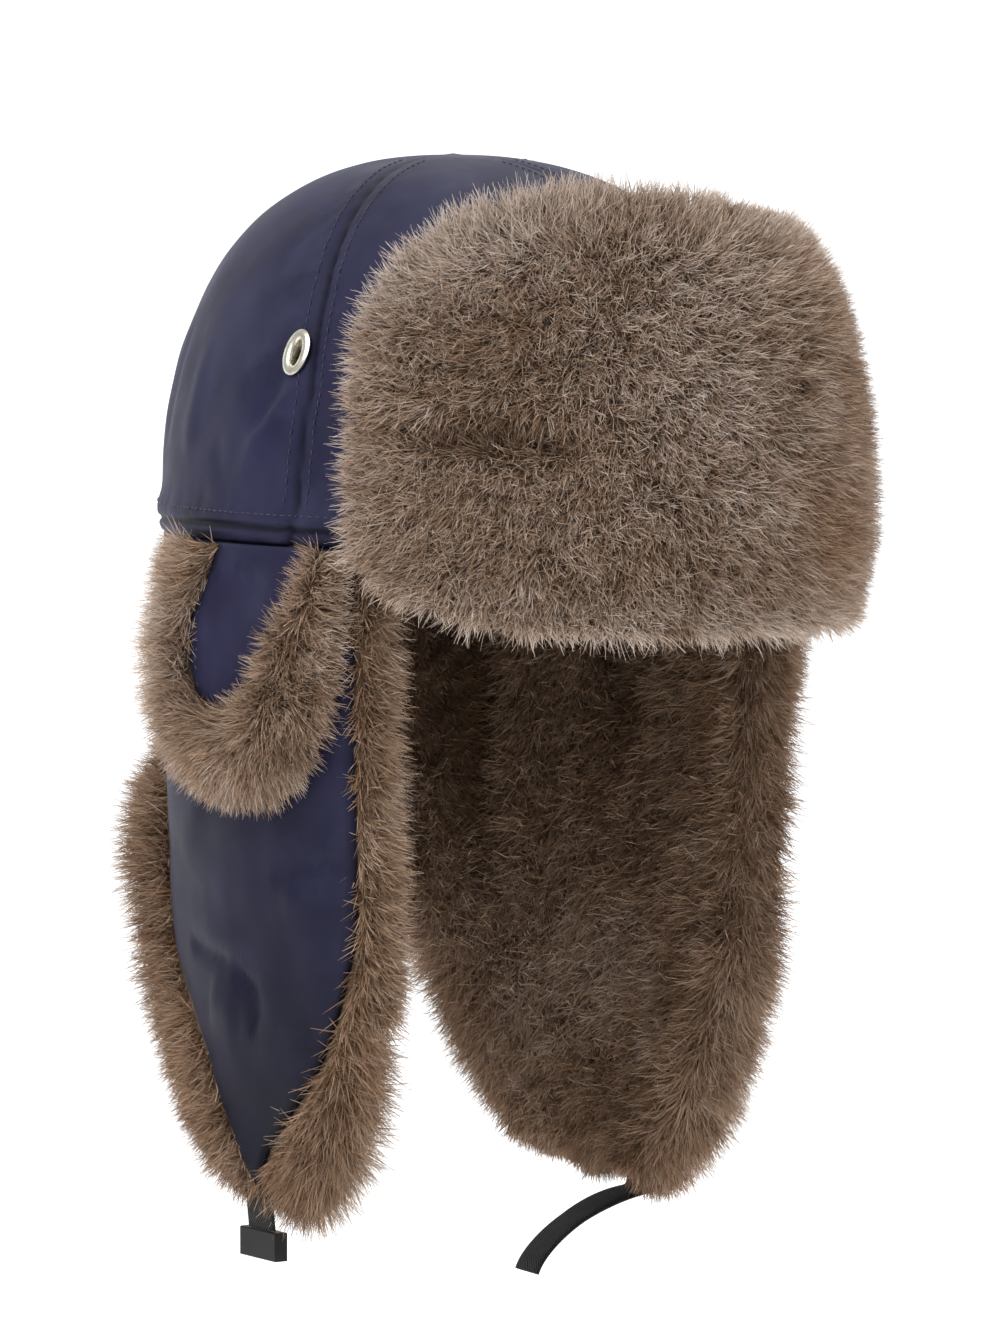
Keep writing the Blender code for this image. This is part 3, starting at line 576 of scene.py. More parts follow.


# How far the cloth of the crown lies out: the roll's table, less a bell-shaped valley at each seam and at the
# brow groove, plus puckers that die away from the seams, gathers over the brow, creases and soft noise; and a
# mask of those valleys and the groove, used for painted shade
def crownOut(turn, height):
    shape = crownShape
    place = (turn + 180) % 360 - 180
    rollTable = (0.0, 0.25, 0.65, 1.0, 1.3), (0.4, 1.0, 0.9, 0.25, 0.0)
    roll = np.interp(height / form["rollHeight"], *rollTable) * form["rollDepth"]
    share = crownShare(height)
    sideAway = np.abs(np.abs(place) - sideSeamTurn(height))
    apart = np.minimum(np.minimum(np.abs(place), 180 - np.abs(place)), sideAway)
    away = np.radians(apart) * form["around"] * np.maximum(share, 0.02)
    fade = np.clip(share * 4, 0, 1)
    valley = np.exp(-((away / shape["seamWidth"]) ** 2))
    allowance = np.exp(-(((away - shape["allowanceAt"]) / shape["allowanceWidth"]) ** 2))
    rise = height + 0.03 * (1 - share)
    ripple = np.sin(2 * np.pi * rise / shape["puckerLength"] + 4 * np.sin(rise * 90) + 2 * np.sin(place))
    wander = shape["grooveWander"] * np.sin(3.1 * np.radians(place) + 0.6)
    groove = np.exp(-(((height - shape["browGroove"] - wander) / shape["grooveWidth"]) ** 2))
    around = np.radians(place) * form["around"]
    gathers = np.sin(around / shape["gatherPitch"] + 3 * np.sin(np.radians(place) * 23))
    gathers = gathers * np.exp(-(((height - shape["gatherHeight"]) / shape["gatherReach"]) ** 2))
    out = roll - fade * (shape["seamDepth"] * valley - shape["allowance"] * allowance)
    out = out + fade * shape["pucker"] * ripple * np.exp(-away / shape["puckerFade"])
    out = out + shape["gather"] * gathers - shape["grooveDepth"] * groove
    points = formPoint(turn, height, 0.0, share)
    rough = shape["billow"] * softNoise(points, shape["billowGrain"], 3)
    rough = rough + shape["crumple"] * softNoise(points, shape["crumpleGrain"], 4)
    clear = np.clip((height - shape["clearFrom"]) / shape["clearRise"], 0, 1)
    out = out + clear * rough + clear * fade * creases(around, height, crownCreases)
    return out, np.clip(fade * valley + groove, 0, 1)


# Crown's cloth: rings of points from the brow up, close together over the roll, and fewer rings a wall's
# depth inside them; the foot joins the two, and a fan of triangles closes the top of each
def makeCrown():
    shape, columns = crownShape, crownShape["columns"]
    turns = np.arange(columns) * 360.0 / columns
    climbs = np.radians(np.linspace(0, 1, shape["climbs"])[1:-1] ** shape["climbPower"] * 90)
    dome = form["crownHeight"] * np.sin(climbs) ** (2 / form["fullness"])
    roll = np.linspace(0, shape["rollTop"], shape["rollRows"])
    heights = np.concatenate([roll, dome[dome > shape["domeStart"]]])
    turnGrid, heightGrid = np.meshgrid(turns, heights)
    out, seam = crownOut(turnGrid, heightGrid)
    outer = crownPoint(turnGrid, heightGrid, out)
    innerHeights = np.concatenate([[0.0], dome[dome > shape["innerStart"]][:: shape["innerEvery"]]])
    innerTurn, innerHeight = np.meshgrid(turns, innerHeights)
    innerOut = -form["wall"] + 0.4 * form["rollDepth"] * (innerHeight < 0.001)
    inner = crownPoint(innerTurn, innerHeight, innerOut)
    inner[..., 2] -= shape["innerSink"] * (innerHeight / form["crownHeight"]) ** 3
    top = [
        [0, form["setBack"], form["crownHeight"] + shape["cap"]],
        [0, form["setBack"], form["crownHeight"] - form["wall"]],
    ]
    first, second = outer.reshape(-1, 3), inner.reshape(-1, 3)
    points = np.concatenate([first, second, top])
    ring = np.arange(columns)
    after = (ring + 1) % columns
    start = len(first)
    foot = np.stack([ring, start + ring, start + after, after], -1)
    lastOuter, lastInner = start - columns, len(first) + len(second) - columns
    caps = np.concatenate([
        np.stack([lastOuter + ring, lastOuter + after, np.full(columns, len(points) - 2)], -1),
        np.stack([lastInner + after, lastInner + ring, np.full(columns, len(points) - 1)], -1),
    ])
    outerQuads = gridQuads(len(heights), columns, 0, True)
    innerQuads = gridQuads(len(innerHeights), columns, start, True)
    crown = addMesh("crownCloth", points, [np.concatenate([outerQuads, innerQuads[:, ::-1], foot]), caps])
    # mark 'seam': painted shade in the seam valleys and the brow groove
    setMark(crown, "seam", np.concatenate([seam.ravel(), np.zeros(len(second) + 2)]))
    return crown


# Rows of stitches: each stitch a short thread of diamond section, thickest between its sunk ends
stitchShape = {
    "pitch": 0.0030, "length": 0.0021, "thick": 0.00050, "beside": 0.0042, "browHeight": 0.0088,
}


# Length along a path at each of its points
def pathLengths(path):
    return np.concatenate([[0], np.cumsum(np.linalg.norm(np.diff(path, axis=0), axis=1))])


# Values given at a path's points, read at other lengths along it
def readPath(at, lengths, values):
    return np.stack([np.interp(at, lengths, values[:, axis]) for axis in range(3)], -1)


# Points of a row of stitches: four rings of four points round each thread
def sewRow(path, normals):
    lengths, ways = pathLengths(path), np.gradient(path, axis=0)
    at = np.arange(stitchShape["pitch"] / 2, lengths[-1], stitchShape["pitch"])
    centre, normal, way = (readPath(at, lengths, values) for values in (path, normals, ways))
    normal, way = unit(normal)[:, None], unit(way)[:, None]
    side = np.cross(way, normal)
    reach = np.array([-0.5, -0.3, 0.3, 0.5])[:, None] * stitchShape["length"]
    rise = np.array([-0.5, 0.3, 0.3, -0.5])[:, None] * stitchShape["thick"]
    wide = np.array([0.4, 1.0, 1.0, 0.4])[:, None, None] * stitchShape["thick"] / 2
    middle = centre[:, None] + way * reach + normal * rise
    return middle[:, :, None] + wide * np.stack([side, normal, -side, -normal], 2)


# Faces of every stitch: three bands of four between its rings, and a cap at each end
def addStitches(name, rows):
    points = np.concatenate([row.reshape(-1, 3) for row in rows])
    corner = np.arange(4)
    band = np.stack([corner, (corner + 1) % 4, 4 + (corner + 1) % 4, 4 + corner], -1)
    faces = np.concatenate([band, 4 + band, 8 + band, [[3, 2, 1, 0], [12, 13, 14, 15]]])
    start = np.arange(len(points) // 16)[:, None, None] * 16
    stitches = addMesh(name, points, [(start + faces).reshape(-1, 4)], smooth=False)
    dress(stitches, thread)


# The dome's outward direction: the cross product of short steps round it and up it
def crownNormal(turn, height, rise=0.0005):
    here = crownPoint(turn, height, 0.0)
    beside, above = crownPoint(turn + 1.0, height, 0.0), crownPoint(turn, height + rise, 0.0)
    return unit(np.cross(beside - here, above - here))


def sewOnCrown(turns, heights):
    path = crownPoint(turns, heights, crownOut(turns, heights)[0])
    return sewRow(path, crownNormal(turns, heights))


# Topstitching: a row over the brow seam and one each side of the crown's seams
def sewCrown():
    turns = np.linspace(-180, 180, 721)
    rows = [sewOnCrown(turns, np.full(len(turns), stitchShape["browHeight"]))]
    climb = np.sin(np.linspace(0.09, 1.40, 160))
    heights = form["crownHeight"] * climb ** (2 / form["fullness"])
    width = np.degrees(stitchShape["beside"] / (form["around"] * crownShare(heights)))
    for seam in (0.0 * heights, sideSeamTurn(heights), 180.0 + 0.0 * heights, -sideSeamTurn(heights)):
        for side in (-1, 1):
            rows.append(sewOnCrown(seam + side * width, heights))
    addStitches("crownStitches", rows)


eyeletShape = {
    "turn": 82.3, "height": 0.057, "radius": 0.0074, "bore": 0.0042, "slim": 0.0025, "wall": 0.0010,
    "dome": 0.0013, "base": 0.0006, "steps": 64, "holeSteps": 32, "holeReach": 0.008,
}


# Seat of an eyelet: its place on the dome and the dome's own outward direction there
def eyeletSeat(side):
    turn, height = side * eyeletShape["turn"], eyeletShape["height"]
    here, outward = crownPoint(turn, height, 0.0), crownNormal(turn, height, 0.001)
    level = unit(np.cross(outward, [0.0, 0.0, 1.0]))
    return here, outward, level, np.cross(level, outward)


# Oval round an eyelet's middle, slimmer across than upright by the same amount whatever its reach
def eyeletOval(angle, reach, level, upright):
    return (reach - eyeletShape["slim"]) * np.cos(angle) * level + reach * np.sin(angle) * upright


# Eyelet: a rounded flange and barrel, its profile carried round the oval
def makeEyelet(name, side):
    wall, dome, bore, radius, base = (eyeletShape[key] for key in ("wall", "dome", "bore", "radius", "base"))
    barrel, back = bore + wall, -form["wall"] - wall
    bend = np.linspace(0, 1, 9)
    lipReach = radius - (radius - bore - wall * 0.4) * bend
    lipRise = base + dome * (0.35 + 0.65 * np.sin(np.pi * (0.12 + bend * 0.70)))
    profile = np.concatenate([
        [[bore, back], [barrel, back], [barrel, base], [radius * 0.97, base], [radius, base + dome * 0.2]],
        np.stack([lipReach, lipRise], -1), [[bore, base + dome * 0.35]],
    ])
    seat, outward, level, upright = eyeletSeat(side)
    angle = np.arange(eyeletShape["steps"]) * 2 * np.pi / eyeletShape["steps"]
    flat = eyeletOval(angle[:, None, None], profile[None, :, :1], level, upright)
    points = seat + flat + outward * profile[None, :, 1:]
    eyelet = addMesh(name, points, [gridQuads(*points.shape[:2], 0, True, True)])
    eyelet.data.set_sharp_from_angle(angle=math.radians(50))
    return eyelet


# Hole for an eyelet's barrel, cut through both faces of the crown's cloth
def cutHole(crown, side):
    seat, outward, level, upright = eyeletSeat(side)
    count, depth = eyeletShape["holeSteps"], outward * eyeletShape["holeReach"]
    around = np.arange(count)
    after = (around + 1) % count
    reach = eyeletShape["bore"] + eyeletShape["wall"] + form["gap"]
    ring = seat + eyeletOval((around * 2 * np.pi / count)[:, None], reach, level, upright)
    sides = np.stack([around, after, count + after, count + around], -1)
    ends = [around[None, ::-1], count + around[None, :]]
    cutter = addMesh("cutter", np.concatenate([ring - depth, ring + depth]), [sides, *ends], smooth=False)
    hole = crown.modifiers.new("hole", "BOOLEAN")
    hole.operation = "DIFFERENCE"
    hole.object = cutter
    return cutter


# The piece's mesh becomes what its modifiers make of it
def applyModifiers(piece):
    graph = bpy.context.evaluated_depsgraph_get()
    finished = bpy.data.meshes.new_from_object(piece.evaluated_get(graph))
    piece.modifiers.clear()
    piece.data = finished


crownCloth = makeCrown()
cutters = [cutHole(crownCloth, -1), cutHole(crownCloth, 1)]
applyModifiers(crownCloth)
for cutter in cutters:
    bpy.data.objects.remove(cutter)
dress(crownCloth, nylon, ["crown_shell"])
dress(makeEyelet("eyeletRightRing", -1), metal, ["eyelet_right"])
dress(makeEyelet("eyeletLeftRing", 1), metal, ["eyelet_left"])
sewCrown()
print("crown made", len(crownCloth.data.polygons), "faces")

# Flap band
bandShape = {
    "columns": 220, "rows": 56, "rowPower": 1.15, "billow": 0.0010, "billowGrain": 0.030, "crumple": 0.0004,
    "crumpleGrain": 0.010, "clear": 0.02, "edgeWidth": 0.004, "sideTurn": 2.2, "hem": 0.0012,
    "hemShade": 0.6, "footShade": 1.00,
}
# Creases in the flaps: metres round the form and height of each end, width, rise
bandCreases = (
    (-0.2085, -0.126, -0.1806, -0.130, 0.0030, -0.0020),
    (-0.1815, -0.129, -0.1690, -0.139, 0.0028, -0.0022),
    (-0.1690, -0.138, -0.1730, -0.150, 0.0028, -0.0016),
    (-0.1950, -0.142, -0.1800, -0.146, 0.0080, 0.0018),
    (-0.1600, -0.101, -0.1390, -0.096, 0.0025, -0.0014),
    (-0.1560, -0.108, -0.1400, -0.104, 0.0040, 0.0009),
    (-0.1900, -0.070, -0.2100, -0.100, 0.0060, 0.0008),
    (0.2000, -0.118, 0.1700, -0.128, 0.0040, -0.0016),
    (0.1750, -0.150, 0.1600, -0.136, 0.0050, 0.0012),
    (0.2300, -0.060, 0.2200, -0.100, 0.0060, -0.0012),
    (-0.2600, -0.030, -0.2500, -0.075, 0.0060, 0.0012),
    (0.2900, -0.030, 0.3000, -0.075, 0.0070, 0.0012),
    (-0.3100, -0.040, -0.3050, -0.080, 0.0050, -0.0010),
)


# Turns from the right flap's front edge round the nape to the left one's
def bandTurns(columns):
    right = np.linspace(-form["frontTurn"], -180, columns // 2)
    return np.concatenate([right, np.linspace(180, form["frontTurn"], columns // 2)[1:]])


# How far the band's cloth lies out: creases and soft noise that fade at the seam above, turned under by the
# square of the nearness to its edge; and that nearness, which paints shade at the hem
def bandOut(turn, height, depth):
    shape = bandShape
    points = formPoint(turn, height, 0.0, 1.0)
    clear = np.clip(-height / shape["clear"], 0, 1)
    edge = np.clip((depth + height) / shape["edgeWidth"], 0, 1)
    side = np.clip((np.abs(turn) - form["frontTurn"]) / shape["sideTurn"], 0, 1)
    keep = edge * side
    rough = shape["billow"] * softNoise(points, shape["billowGrain"], 7)
    rough = rough + shape["crumple"] * softNoise(points, shape["crumpleGrain"], 8)
    rough = rough + creases(np.radians(turn) * form["around"], height, bandCreases)
    return clear * keep * rough - shape["hem"] * (1 - keep) ** 2, 1 - keep


# Band's cloth: columns round the band, and rows from the brow to its edge, closer together towards it
def makeBand():
    turns, depth = bandTurns(bandShape["columns"]), bandDepth(bandTurns(bandShape["columns"]))
    shares = 1 - (1 - np.linspace(0, 1, bandShape["rows"])) ** bandShape["rowPower"]
    heights = -form["gap"] - (depth - form["gap"])[None, :] * shares[:, None]
    turnGrid = np.broadcast_to(turns, heights.shape)
    out, hem = bandOut(turnGrid, heights, depth[None, :])
    face = formPoint(turnGrid, heights, np.maximum(out, -form["wall"] * 0.8), bandShare(heights))
    back = formPoint(turnGrid, heights, -form["wall"], bandShare(heights))
    band = addSlab("bandCloth", face, back)
    # painted shade: darker at the turned-under hem and down towards the flap's foot, carried by the mark
    # 'seam'
    foot = np.clip(-heights / flapLength, 0, 1) ** 1.5
    shade = hem * bandShape["hemShade"] + bandShape["footShade"] * foot
    setMark(band, "seam", np.concatenate([shade.ravel(), np.zeros(heights.size)]))
    dress(band, nylon, ["flap_band_shell"])


makeBand()
print("band made")

# Fur: the helpers that every furry piece shares


# Points spread over a grid's cells by area times weight, with normals, and the grid place of each
def scatter(grid, normals, weight, count, seed):
    chance = np.random.default_rng(seed)
    cross = np.cross(grid[1:, 1:] - grid[:-1, :-1], grid[1:, :-1] - grid[:-1, 1:])
    area = 0.5 * np.linalg.norm(cross, axis=-1) * (weight[1:, 1:] + weight[:-1, :-1]) / 2
    ends = np.cumsum(area.ravel())
    cell = np.searchsorted(ends, (np.arange(count) + chance.random(count)) / count * ends[-1])
    cell = np.minimum(cell, area.size - 1)
    row, column = np.divmod(cell, area.shape[1])
    down, along = chance.random(count), chance.random(count)

    def blend(values):
        values = values if values.ndim == 3 else values[..., None]
        left, right = (1 - along)[:, None], along[:, None]
        top = values[row, column] * left + values[row, column + 1] * right
        foot = values[row + 1, column] * left + values[row + 1, column + 1] * right
        return top * (1 - down)[:, None] + foot * down[:, None]

    return blend(grid), unit(blend(normals)), blend


# Hairs as tapering blades that rise from the skin by lift and lean the rest of the way towards the comb
# direction. Tufts a few hairs wide lean together and share a tone, so that dark gaps open between them
hairLook = {
    "clump": 0.20, "tuft": 0.42, "stray": 0.30, "clumpGrain": 0.0100, "tuftGrain": 0.0028,
    "speckGrain": 0.0016, "clumpTone": 0.24, "speckTone": 0.78, "strayTone": 0.24, "speckRust": 0.24,
    "tipWidth": 0.16, "sunk": 0.0006, "lifts": (0.85, 1.15), "lengths": (0.55, 1.20), "widths": (0.7, 1.3),
}


# Three soft noises as one way
def noiseWay(points, grain, seed):
    return np.stack([softNoise(points, grain, seed + step) for step in range(3)], -1)


def growHair(name, roots, normals, combs, lift, length, width, tone, rust, seed):
    look, count = hairLook, len(roots)
    chance = np.random.default_rng(seed)
    combs = unit(combs - normals * np.sum(combs * normals, axis=1, keepdims=True))
    clump, tuft = noiseWay(roots, look["clumpGrain"], seed), noiseWay(roots, look["tuftGrain"], seed + 5)
    speck = softNoise(roots, look["speckGrain"], seed + 9)
    stray = chance.normal(0, 1, (count, 3))
    lift = (lift * chance.uniform(*look["lifts"], count))[:, None]
    sway = look["clump"] * clump + look["tuft"] * tuft + look["stray"] * stray
    way = unit(normals * lift + combs * (1 - lift) + sway)
    length = (length * chance.uniform(*look["lengths"], count))[:, None]
    side = unit(np.cross(way, chance.normal(0, 1, (count, 3))))
    side = side * (width * chance.uniform(*look["widths"], count))[:, None] / 2
    sunk = roots - normals * look["sunk"]
    tip, thin = roots + way * length, side * look["tipWidth"]
    points = np.stack([sunk - side, sunk + side, tip - thin, tip + thin], axis=1)
    hairs = addMesh(name, points, [np.arange(count)[:, None] * 4 + [[0, 1, 3, 2]]], closed=False)
    setMark(hairs, "along", np.tile([0.0, 0.0, 1.0, 1.0], count))
    setMark(hairs, "chance", np.repeat(chance.random(count), 4))
    tone = tone + look["clumpTone"] * clump[:, 0] + look["speckTone"] * speck
    tone = tone + look["strayTone"] * stray[:, 0]
    setMark(hairs, "tone", np.repeat(np.clip(tone, -1, 1), 4))
    rust = rust + look["speckRust"] * np.clip(tuft[:, 1] * 2, 0, 1)
    setMark(hairs, "rust", np.repeat(np.clip(rust, 0, 1), 4))
    dress(hairs, fur)


# Sum of oval patches over turn and height, each a bell
def patches(turn, height, table):
    total = 0.0
    for atTurn, atHeight, turnWide, heightWide, value in table:
        apart = ((turn - atTurn) / turnWide) ** 2 + ((height - atHeight) / heightWide) ** 2
        total = total + value * np.exp(-apart)
    return total


liningShape = {
    "thick": 0.0175, "tipFuller": 0.42, "top": 0.006, "overhang": 0.0075, "inset": 0.0045, "rimInset": 0.0035,
    "edgeInset": 0.0025, "middle": 0.42, "columns": 180, "rows": 66, "borderColumns": 8, "borderRows": 16,
    "hair": 0.0086, "width": 0.00045, "lift": 0.60, "rimLift": 0.52, "napePlace": 1.66, "napeWide": 0.13,
    "napeLift": 0.25, "napeTone": 0.35, "rust": 0.22,
}
# Hair length along the rim, in hair lengths, by place on the wearer's right (-1) and left (1)
rimReach = {
    -1: (
        (0.0, 1.15), (0.20, 1.75), (0.40, 2.05), (0.60, 1.90), (0.79, 1.25), (1.0, 0.80), (1.10, 1.30),
        (1.26, 1.05), (1.40, 1.25), (1.50, 1.75), (1.66, 1.80), (1.80, 1.25), (2.0, 1.0),
    ),
    1: (
        (0.0, 1.45), (0.31, 1.50), (0.55, 1.30), (0.79, 0.75), (1.0, 0.45), (1.08, 0.95), (1.20, 0.45),
        (1.32, 0.80), (1.50, 1.45), (1.66, 1.45), (1.80, 1.25), (2.0, 1.0),
    ),
}
# Folds pressed into the lining: place, top and foot in flap lengths, depth and width in fur thicknesses
liningFolds = (
    (1.425, -0.12, -0.60, 0.45, 0.50), (1.075, -0.12, -0.32, 0.35, 0.45), (1.750, -0.08, -0.40, 0.30, 0.60),
)


# Depth of the folds: each a bell across, and 1 - down^4 along its own height
def foldDepth(turn, height):
    deep = np.zeros(np.broadcast(turn, height).shape)
    reach = liningShape["thick"] / form["halfLength"]
    for place, top, foot, depth, width in liningFolds:
        at = np.interp(place, (0.0, 1.0, 2.0), (form["frontTurn"], form["strapTurn"], 180.0))
        beside = np.radians(np.abs(turn) - at) / (reach * width)
        down = (-height / flapLength + (top + foot) / 2) / ((top - foot) / 2)
        deep += depth * np.exp(-(beside**2)) * np.clip(1 - down**4, 0, 1)
    return deep


# Lining: a pad inside the band whose face swells towards the tips. Its border, past the band's edge, rounds
# off as the root of 1 - border^3 towards its own middle and rolls out past the cloth. The skin lies in by the
# insets, so that its hairs end where the solid does
def makeLining():
    shape, cloth = liningShape, -form["wall"] - form["gap"]
    edge = math.degrees((shape["overhang"] - shape["edgeInset"]) / form["halfLength"])
    border = np.linspace(1, 0, shape["borderColumns"] + 1)[:-1] ** 0.8
    inner, ahead = bandTurns(shape["columns"]), form["frontTurn"] - edge * border
    turns = np.concatenate([-ahead, inner, ahead[::-1]])
    sideBorder = np.concatenate([border, np.zeros(len(inner)), border[::-1]])
    band, furEdge = bandDepth(turns), furDepth(turns) - shape["edgeInset"]
    shares = np.linspace(0, 1, shape["rows"] - shape["borderRows"])
    upper = shape["top"] - (shape["top"] + band)[None, :] * shares[:, None]
    beyond = np.linspace(0, 1, shape["borderRows"] + 1)[1:] ** 0.85
    lower = -band[None, :] - (furEdge - band)[None, :] * beyond[:, None]
    heights = np.concatenate([upper, lower])
    rowBorder = np.concatenate([np.zeros(len(shares)), beyond])
    turnGrid = np.broadcast_to(turns, heights.shape)
    topSeal = np.clip((shape["top"] - heights) / 0.006, 0, 1)
    borders = 1 - (1 - rowBorder[:, None]) * (1 - sideBorder[None, :])
    full = np.sqrt(np.clip(1 - borders**3, 0, 1))
    rimHigh = shape["thick"] * smoothTable(furRim, bandPlace(turnGrid)) - shape["rimInset"]
    swell = 1 + shape["tipFuller"] * np.clip(-heights / flapLength, 0, 1) ** 2
    thick = shape["thick"] * swell * (1 - foldDepth(turnGrid, heights)) - shape["inset"]
    middle = cloth - thick * shape["middle"]
    rimOut = rimHigh * np.sin(np.pi * np.clip(borders * 0.72, 0, 1)) - form["wall"] - form["gap"]
    outer = np.where(heights > -form["gap"], cloth, middle + (rimOut - middle) * full)
    face = middle + (cloth - thick - middle) * full * (0.15 + 0.85 * topSeal)
    share = bandShare(heights)
    facePoints, backPoints = (formPoint(turnGrid, heights, out, share) for out in (face, outer))
    skin = addSlab("liningSkin", facePoints, backPoints)
    dress(skin, underFur, ["flap_band_fur"])
    return turnGrid, heights, borders, facePoints, backPoints


# Colour patches of the lining: turn, height, reach round and up, value; the dark patches in the deep folds
# and high across the nape are painted shade
liningTones = (
    (139, -0.055, 5, 0.034, -2.20), (150, -0.060, 14, 0.050, -0.35), (102, -0.054, 4, 0.020, -1.00),
    (112, -0.080, 14, 0.040, -0.10), (104, -0.140, 20, 0.026, 0.60), (80, -0.110, 8, 0.030, 0.12),
    (126, -0.150, 10, 0.030, 0.35), (100, -0.205, 14, 0.020, -0.30),
    (-150, -0.060, 20, 0.050, -0.40), (180, -0.060, 22, 0.040, -0.40), (-180, -0.060, 22, 0.040, -0.40),
)
liningRust = ((78, -0.055, 6, 0.035, 0.35), (86, -0.130, 6, 0.020, 0.20), (-76, -0.120, 5, 0.030, 0.20))


# Hairs of the lining, combed down and towards the face: right flap, nape and left flap on the pad's face,
# each a stretch of its columns, and the rim on its back, whose hairs have their own lengths. Hairs of the
# border rise and turn paler at the nape
def growLining():
    shape = liningShape
    turnGrid, heights, borders, face, back = makeLining()
    inward = unit(formPoint(turnGrid, heights, 0.0, 0.0) - face + 1e-9)
    faceNormals, backNormals = gridNormals(face, inward), gridNormals(back, -inward)
    ahead = -levelWay(turnGrid) * np.sign(turnGrid)[..., None]  # towards the face
    sideBorder = np.clip((form["frontTurn"] + 14 - np.abs(turnGrid)) / 20, 0, 1)
    toEdge = unit(downWay + ahead * (0.25 + 0.8 * sideBorder[..., None]))
    faceWeight = np.where(heights > 0.0, 0.2, 1.0) * (1 + borders)
    rimWeight = np.where(borders > 0.10, 1.6, 0.0)
    columns = turnGrid.shape[1]
    parts = (
        ("furLiningRight", 0.0, 0.28, 36000, face, faceNormals, faceWeight, 11),
        ("furLiningNape", 0.28, 0.70, 52000, face, faceNormals, faceWeight, 12),
        ("furLiningLeft", 0.70, 1.0, 72000, face, faceNormals, faceWeight, 13),
        ("furRim", 0.0, 1.0, 70000, back, backNormals, rimWeight, 14),
    )
    for name, first, last, count, grid, normals, weight, seed in parts:
        own = slice(max(int(columns * first) - 1, 0), int(columns * last))
        roots, rootNormals, blend = scatter(grid[:, own], normals[:, own], weight[:, own], count, seed)
        turn, height, rim = (blend(values[:, own])[:, 0] for values in (turnGrid, heights, borders))
        place = bandPlace(turn)
        combs = unit(blend(toEdge[:, own]))
        tone = patches(turn, height, liningTones) - 0.10 - (0.22 if grid is back else -0.10) * rim
        rust = patches(turn, height, liningRust) + shape["rust"]
        nape = np.exp(-(((place - shape["napePlace"]) / shape["napeWide"]) ** 2)) * (rim > 0)
        lift = shape["lift"] + (shape["rimLift"] - shape["lift"]) * rim + shape["napeLift"] * nape
        reach = np.where(turn < 0, smoothTable(rimReach[-1], place), smoothTable(rimReach[1], place))
        length = shape["hair"] * (1 + (reach - 1) * rim)
        tone = tone + shape["napeTone"] * nape
        growHair(name, roots, rootNormals, combs, lift, length, shape["width"], tone, rust, seed * 10)


growLining()
print("lining made")

# Front flap
frontShape = {
    "halfTurn": 65.5, "top": 0.0950, "slant": 0.008, "bottom": -0.017, "middle": 0.020, "topPower": 3.3,
    "footPower": 3.4, "sweep": 82, "spread": 0.985, "thick": 0.0075, "margin": 0.0070, "backing": 0.0018,
    "inset": 0.0042, "dent": 0.0022, "backingGrid": (60, 34), "columns": 100, "rows": 70, "hair": 0.0092,
    "width": 0.00044, "lift": 0.66, "count": 98000,
}
frontSeat = form["rollDepth"] + form["skinGap"]
# Tones of the front flap: turn, height, reach round and up, value; the two narrow dark patches near height
# 0.035 are painted shade in the groove where the pad is pressed in
frontTones = (
    (-50, 0.0355, 11, 0.0036, -1.90), (-36, 0.034, 9, 0.004, -0.75), (-53, 0.016, 8, 0.009, 0.10),
    (-3, 0.0145, 9, 0.008, 0.60), (-14, 0.042, 26, 0.026, 0.62), (-8, 0.078, 22, 0.014, 0.52),
    (29, 0.045, 8, 0.030, -0.10), (-52, 0.090, 16, 0.014, 1.00), (10, -0.005, 9, 0.010, -0.15),
    (-22, 0.000, 16, 0.010, 0.10), (-60, 0.040, 7, 0.030, 0.25),
)
frontRust = (
    (17, 0.001, 6, 0.016, 0.52), (9, 0.014, 5, 0.010, 0.28), (26, 0.030, 5, 0.040, 0.30),
    (-20, 0.040, 60, 0.080, 0.10),
)
# Shorter hair at the corners away from the camera's side: turn, height, reach round and up, share
frontReach = (
    (22, 0.100, 20, 0.016, -0.60), (52, 0.030, 16, 0.070, -0.10), (50, -0.022, 16, 0.014, -0.55),
)


# Height of an oval over its middle, one high and one wide to each side: (1 - across^power)^(1 / power)
def ovalRise(across, power):
    return (1 - np.abs(across) ** power) ** (1 / power)


# Front flap's outline, grown by a margin: an oval of topPower above its middle height and of footPower below
# it, its top slanting down to the wearer's left
def frontGrid(margin, columns, rows):
    shape, sweep = frontShape, math.radians(frontShape["sweep"])
    halfTurn = shape["halfTurn"] + math.degrees(margin * 0.8 / form["halfLength"])
    top, middle, bottom = shape["top"] + margin, shape["middle"], shape["bottom"] - margin
    across = np.sin(np.linspace(-1, 1, columns) * sweep) / math.sin(sweep) * shape["spread"]
    upper = middle + (top - middle) * ovalRise(across, shape["topPower"]) - shape["slant"] * across
    lower = middle - (middle - bottom) * ovalRise(across, shape["footPower"])
    heights = upper[None, :] + (lower - upper)[None, :] * np.linspace(0, 1, rows)[:, None]
    return np.broadcast_to(across * halfTurn / shape["spread"], heights.shape), heights


# Backing: a plate of cloth that stands on the taller form, a little rough behind
def makeFrontBacking():
    turns, heights = frontGrid(0.0, *frontShape["backingGrid"])
    share = frontShare(heights)
    rough = 0.0003 * softNoise(formPoint(turns, heights, 0.0, share), 0.012, 21)
    face = formPoint(turns, heights, frontSeat + frontShape["backing"], share)
    backing = addSlab("frontBackingCloth", face, formPoint(turns, heights, frontSeat + rough, share))
    setMark(backing, "seam", np.zeros(len(backing.data.vertices)))
    dress(backing, nylon, ["front_flap_backing"])


# Pull of the comb towards an edge: the sixth power of the place across, with its sign
def edgePull(place):
    return np.sign(place) * np.abs(place) ** 6


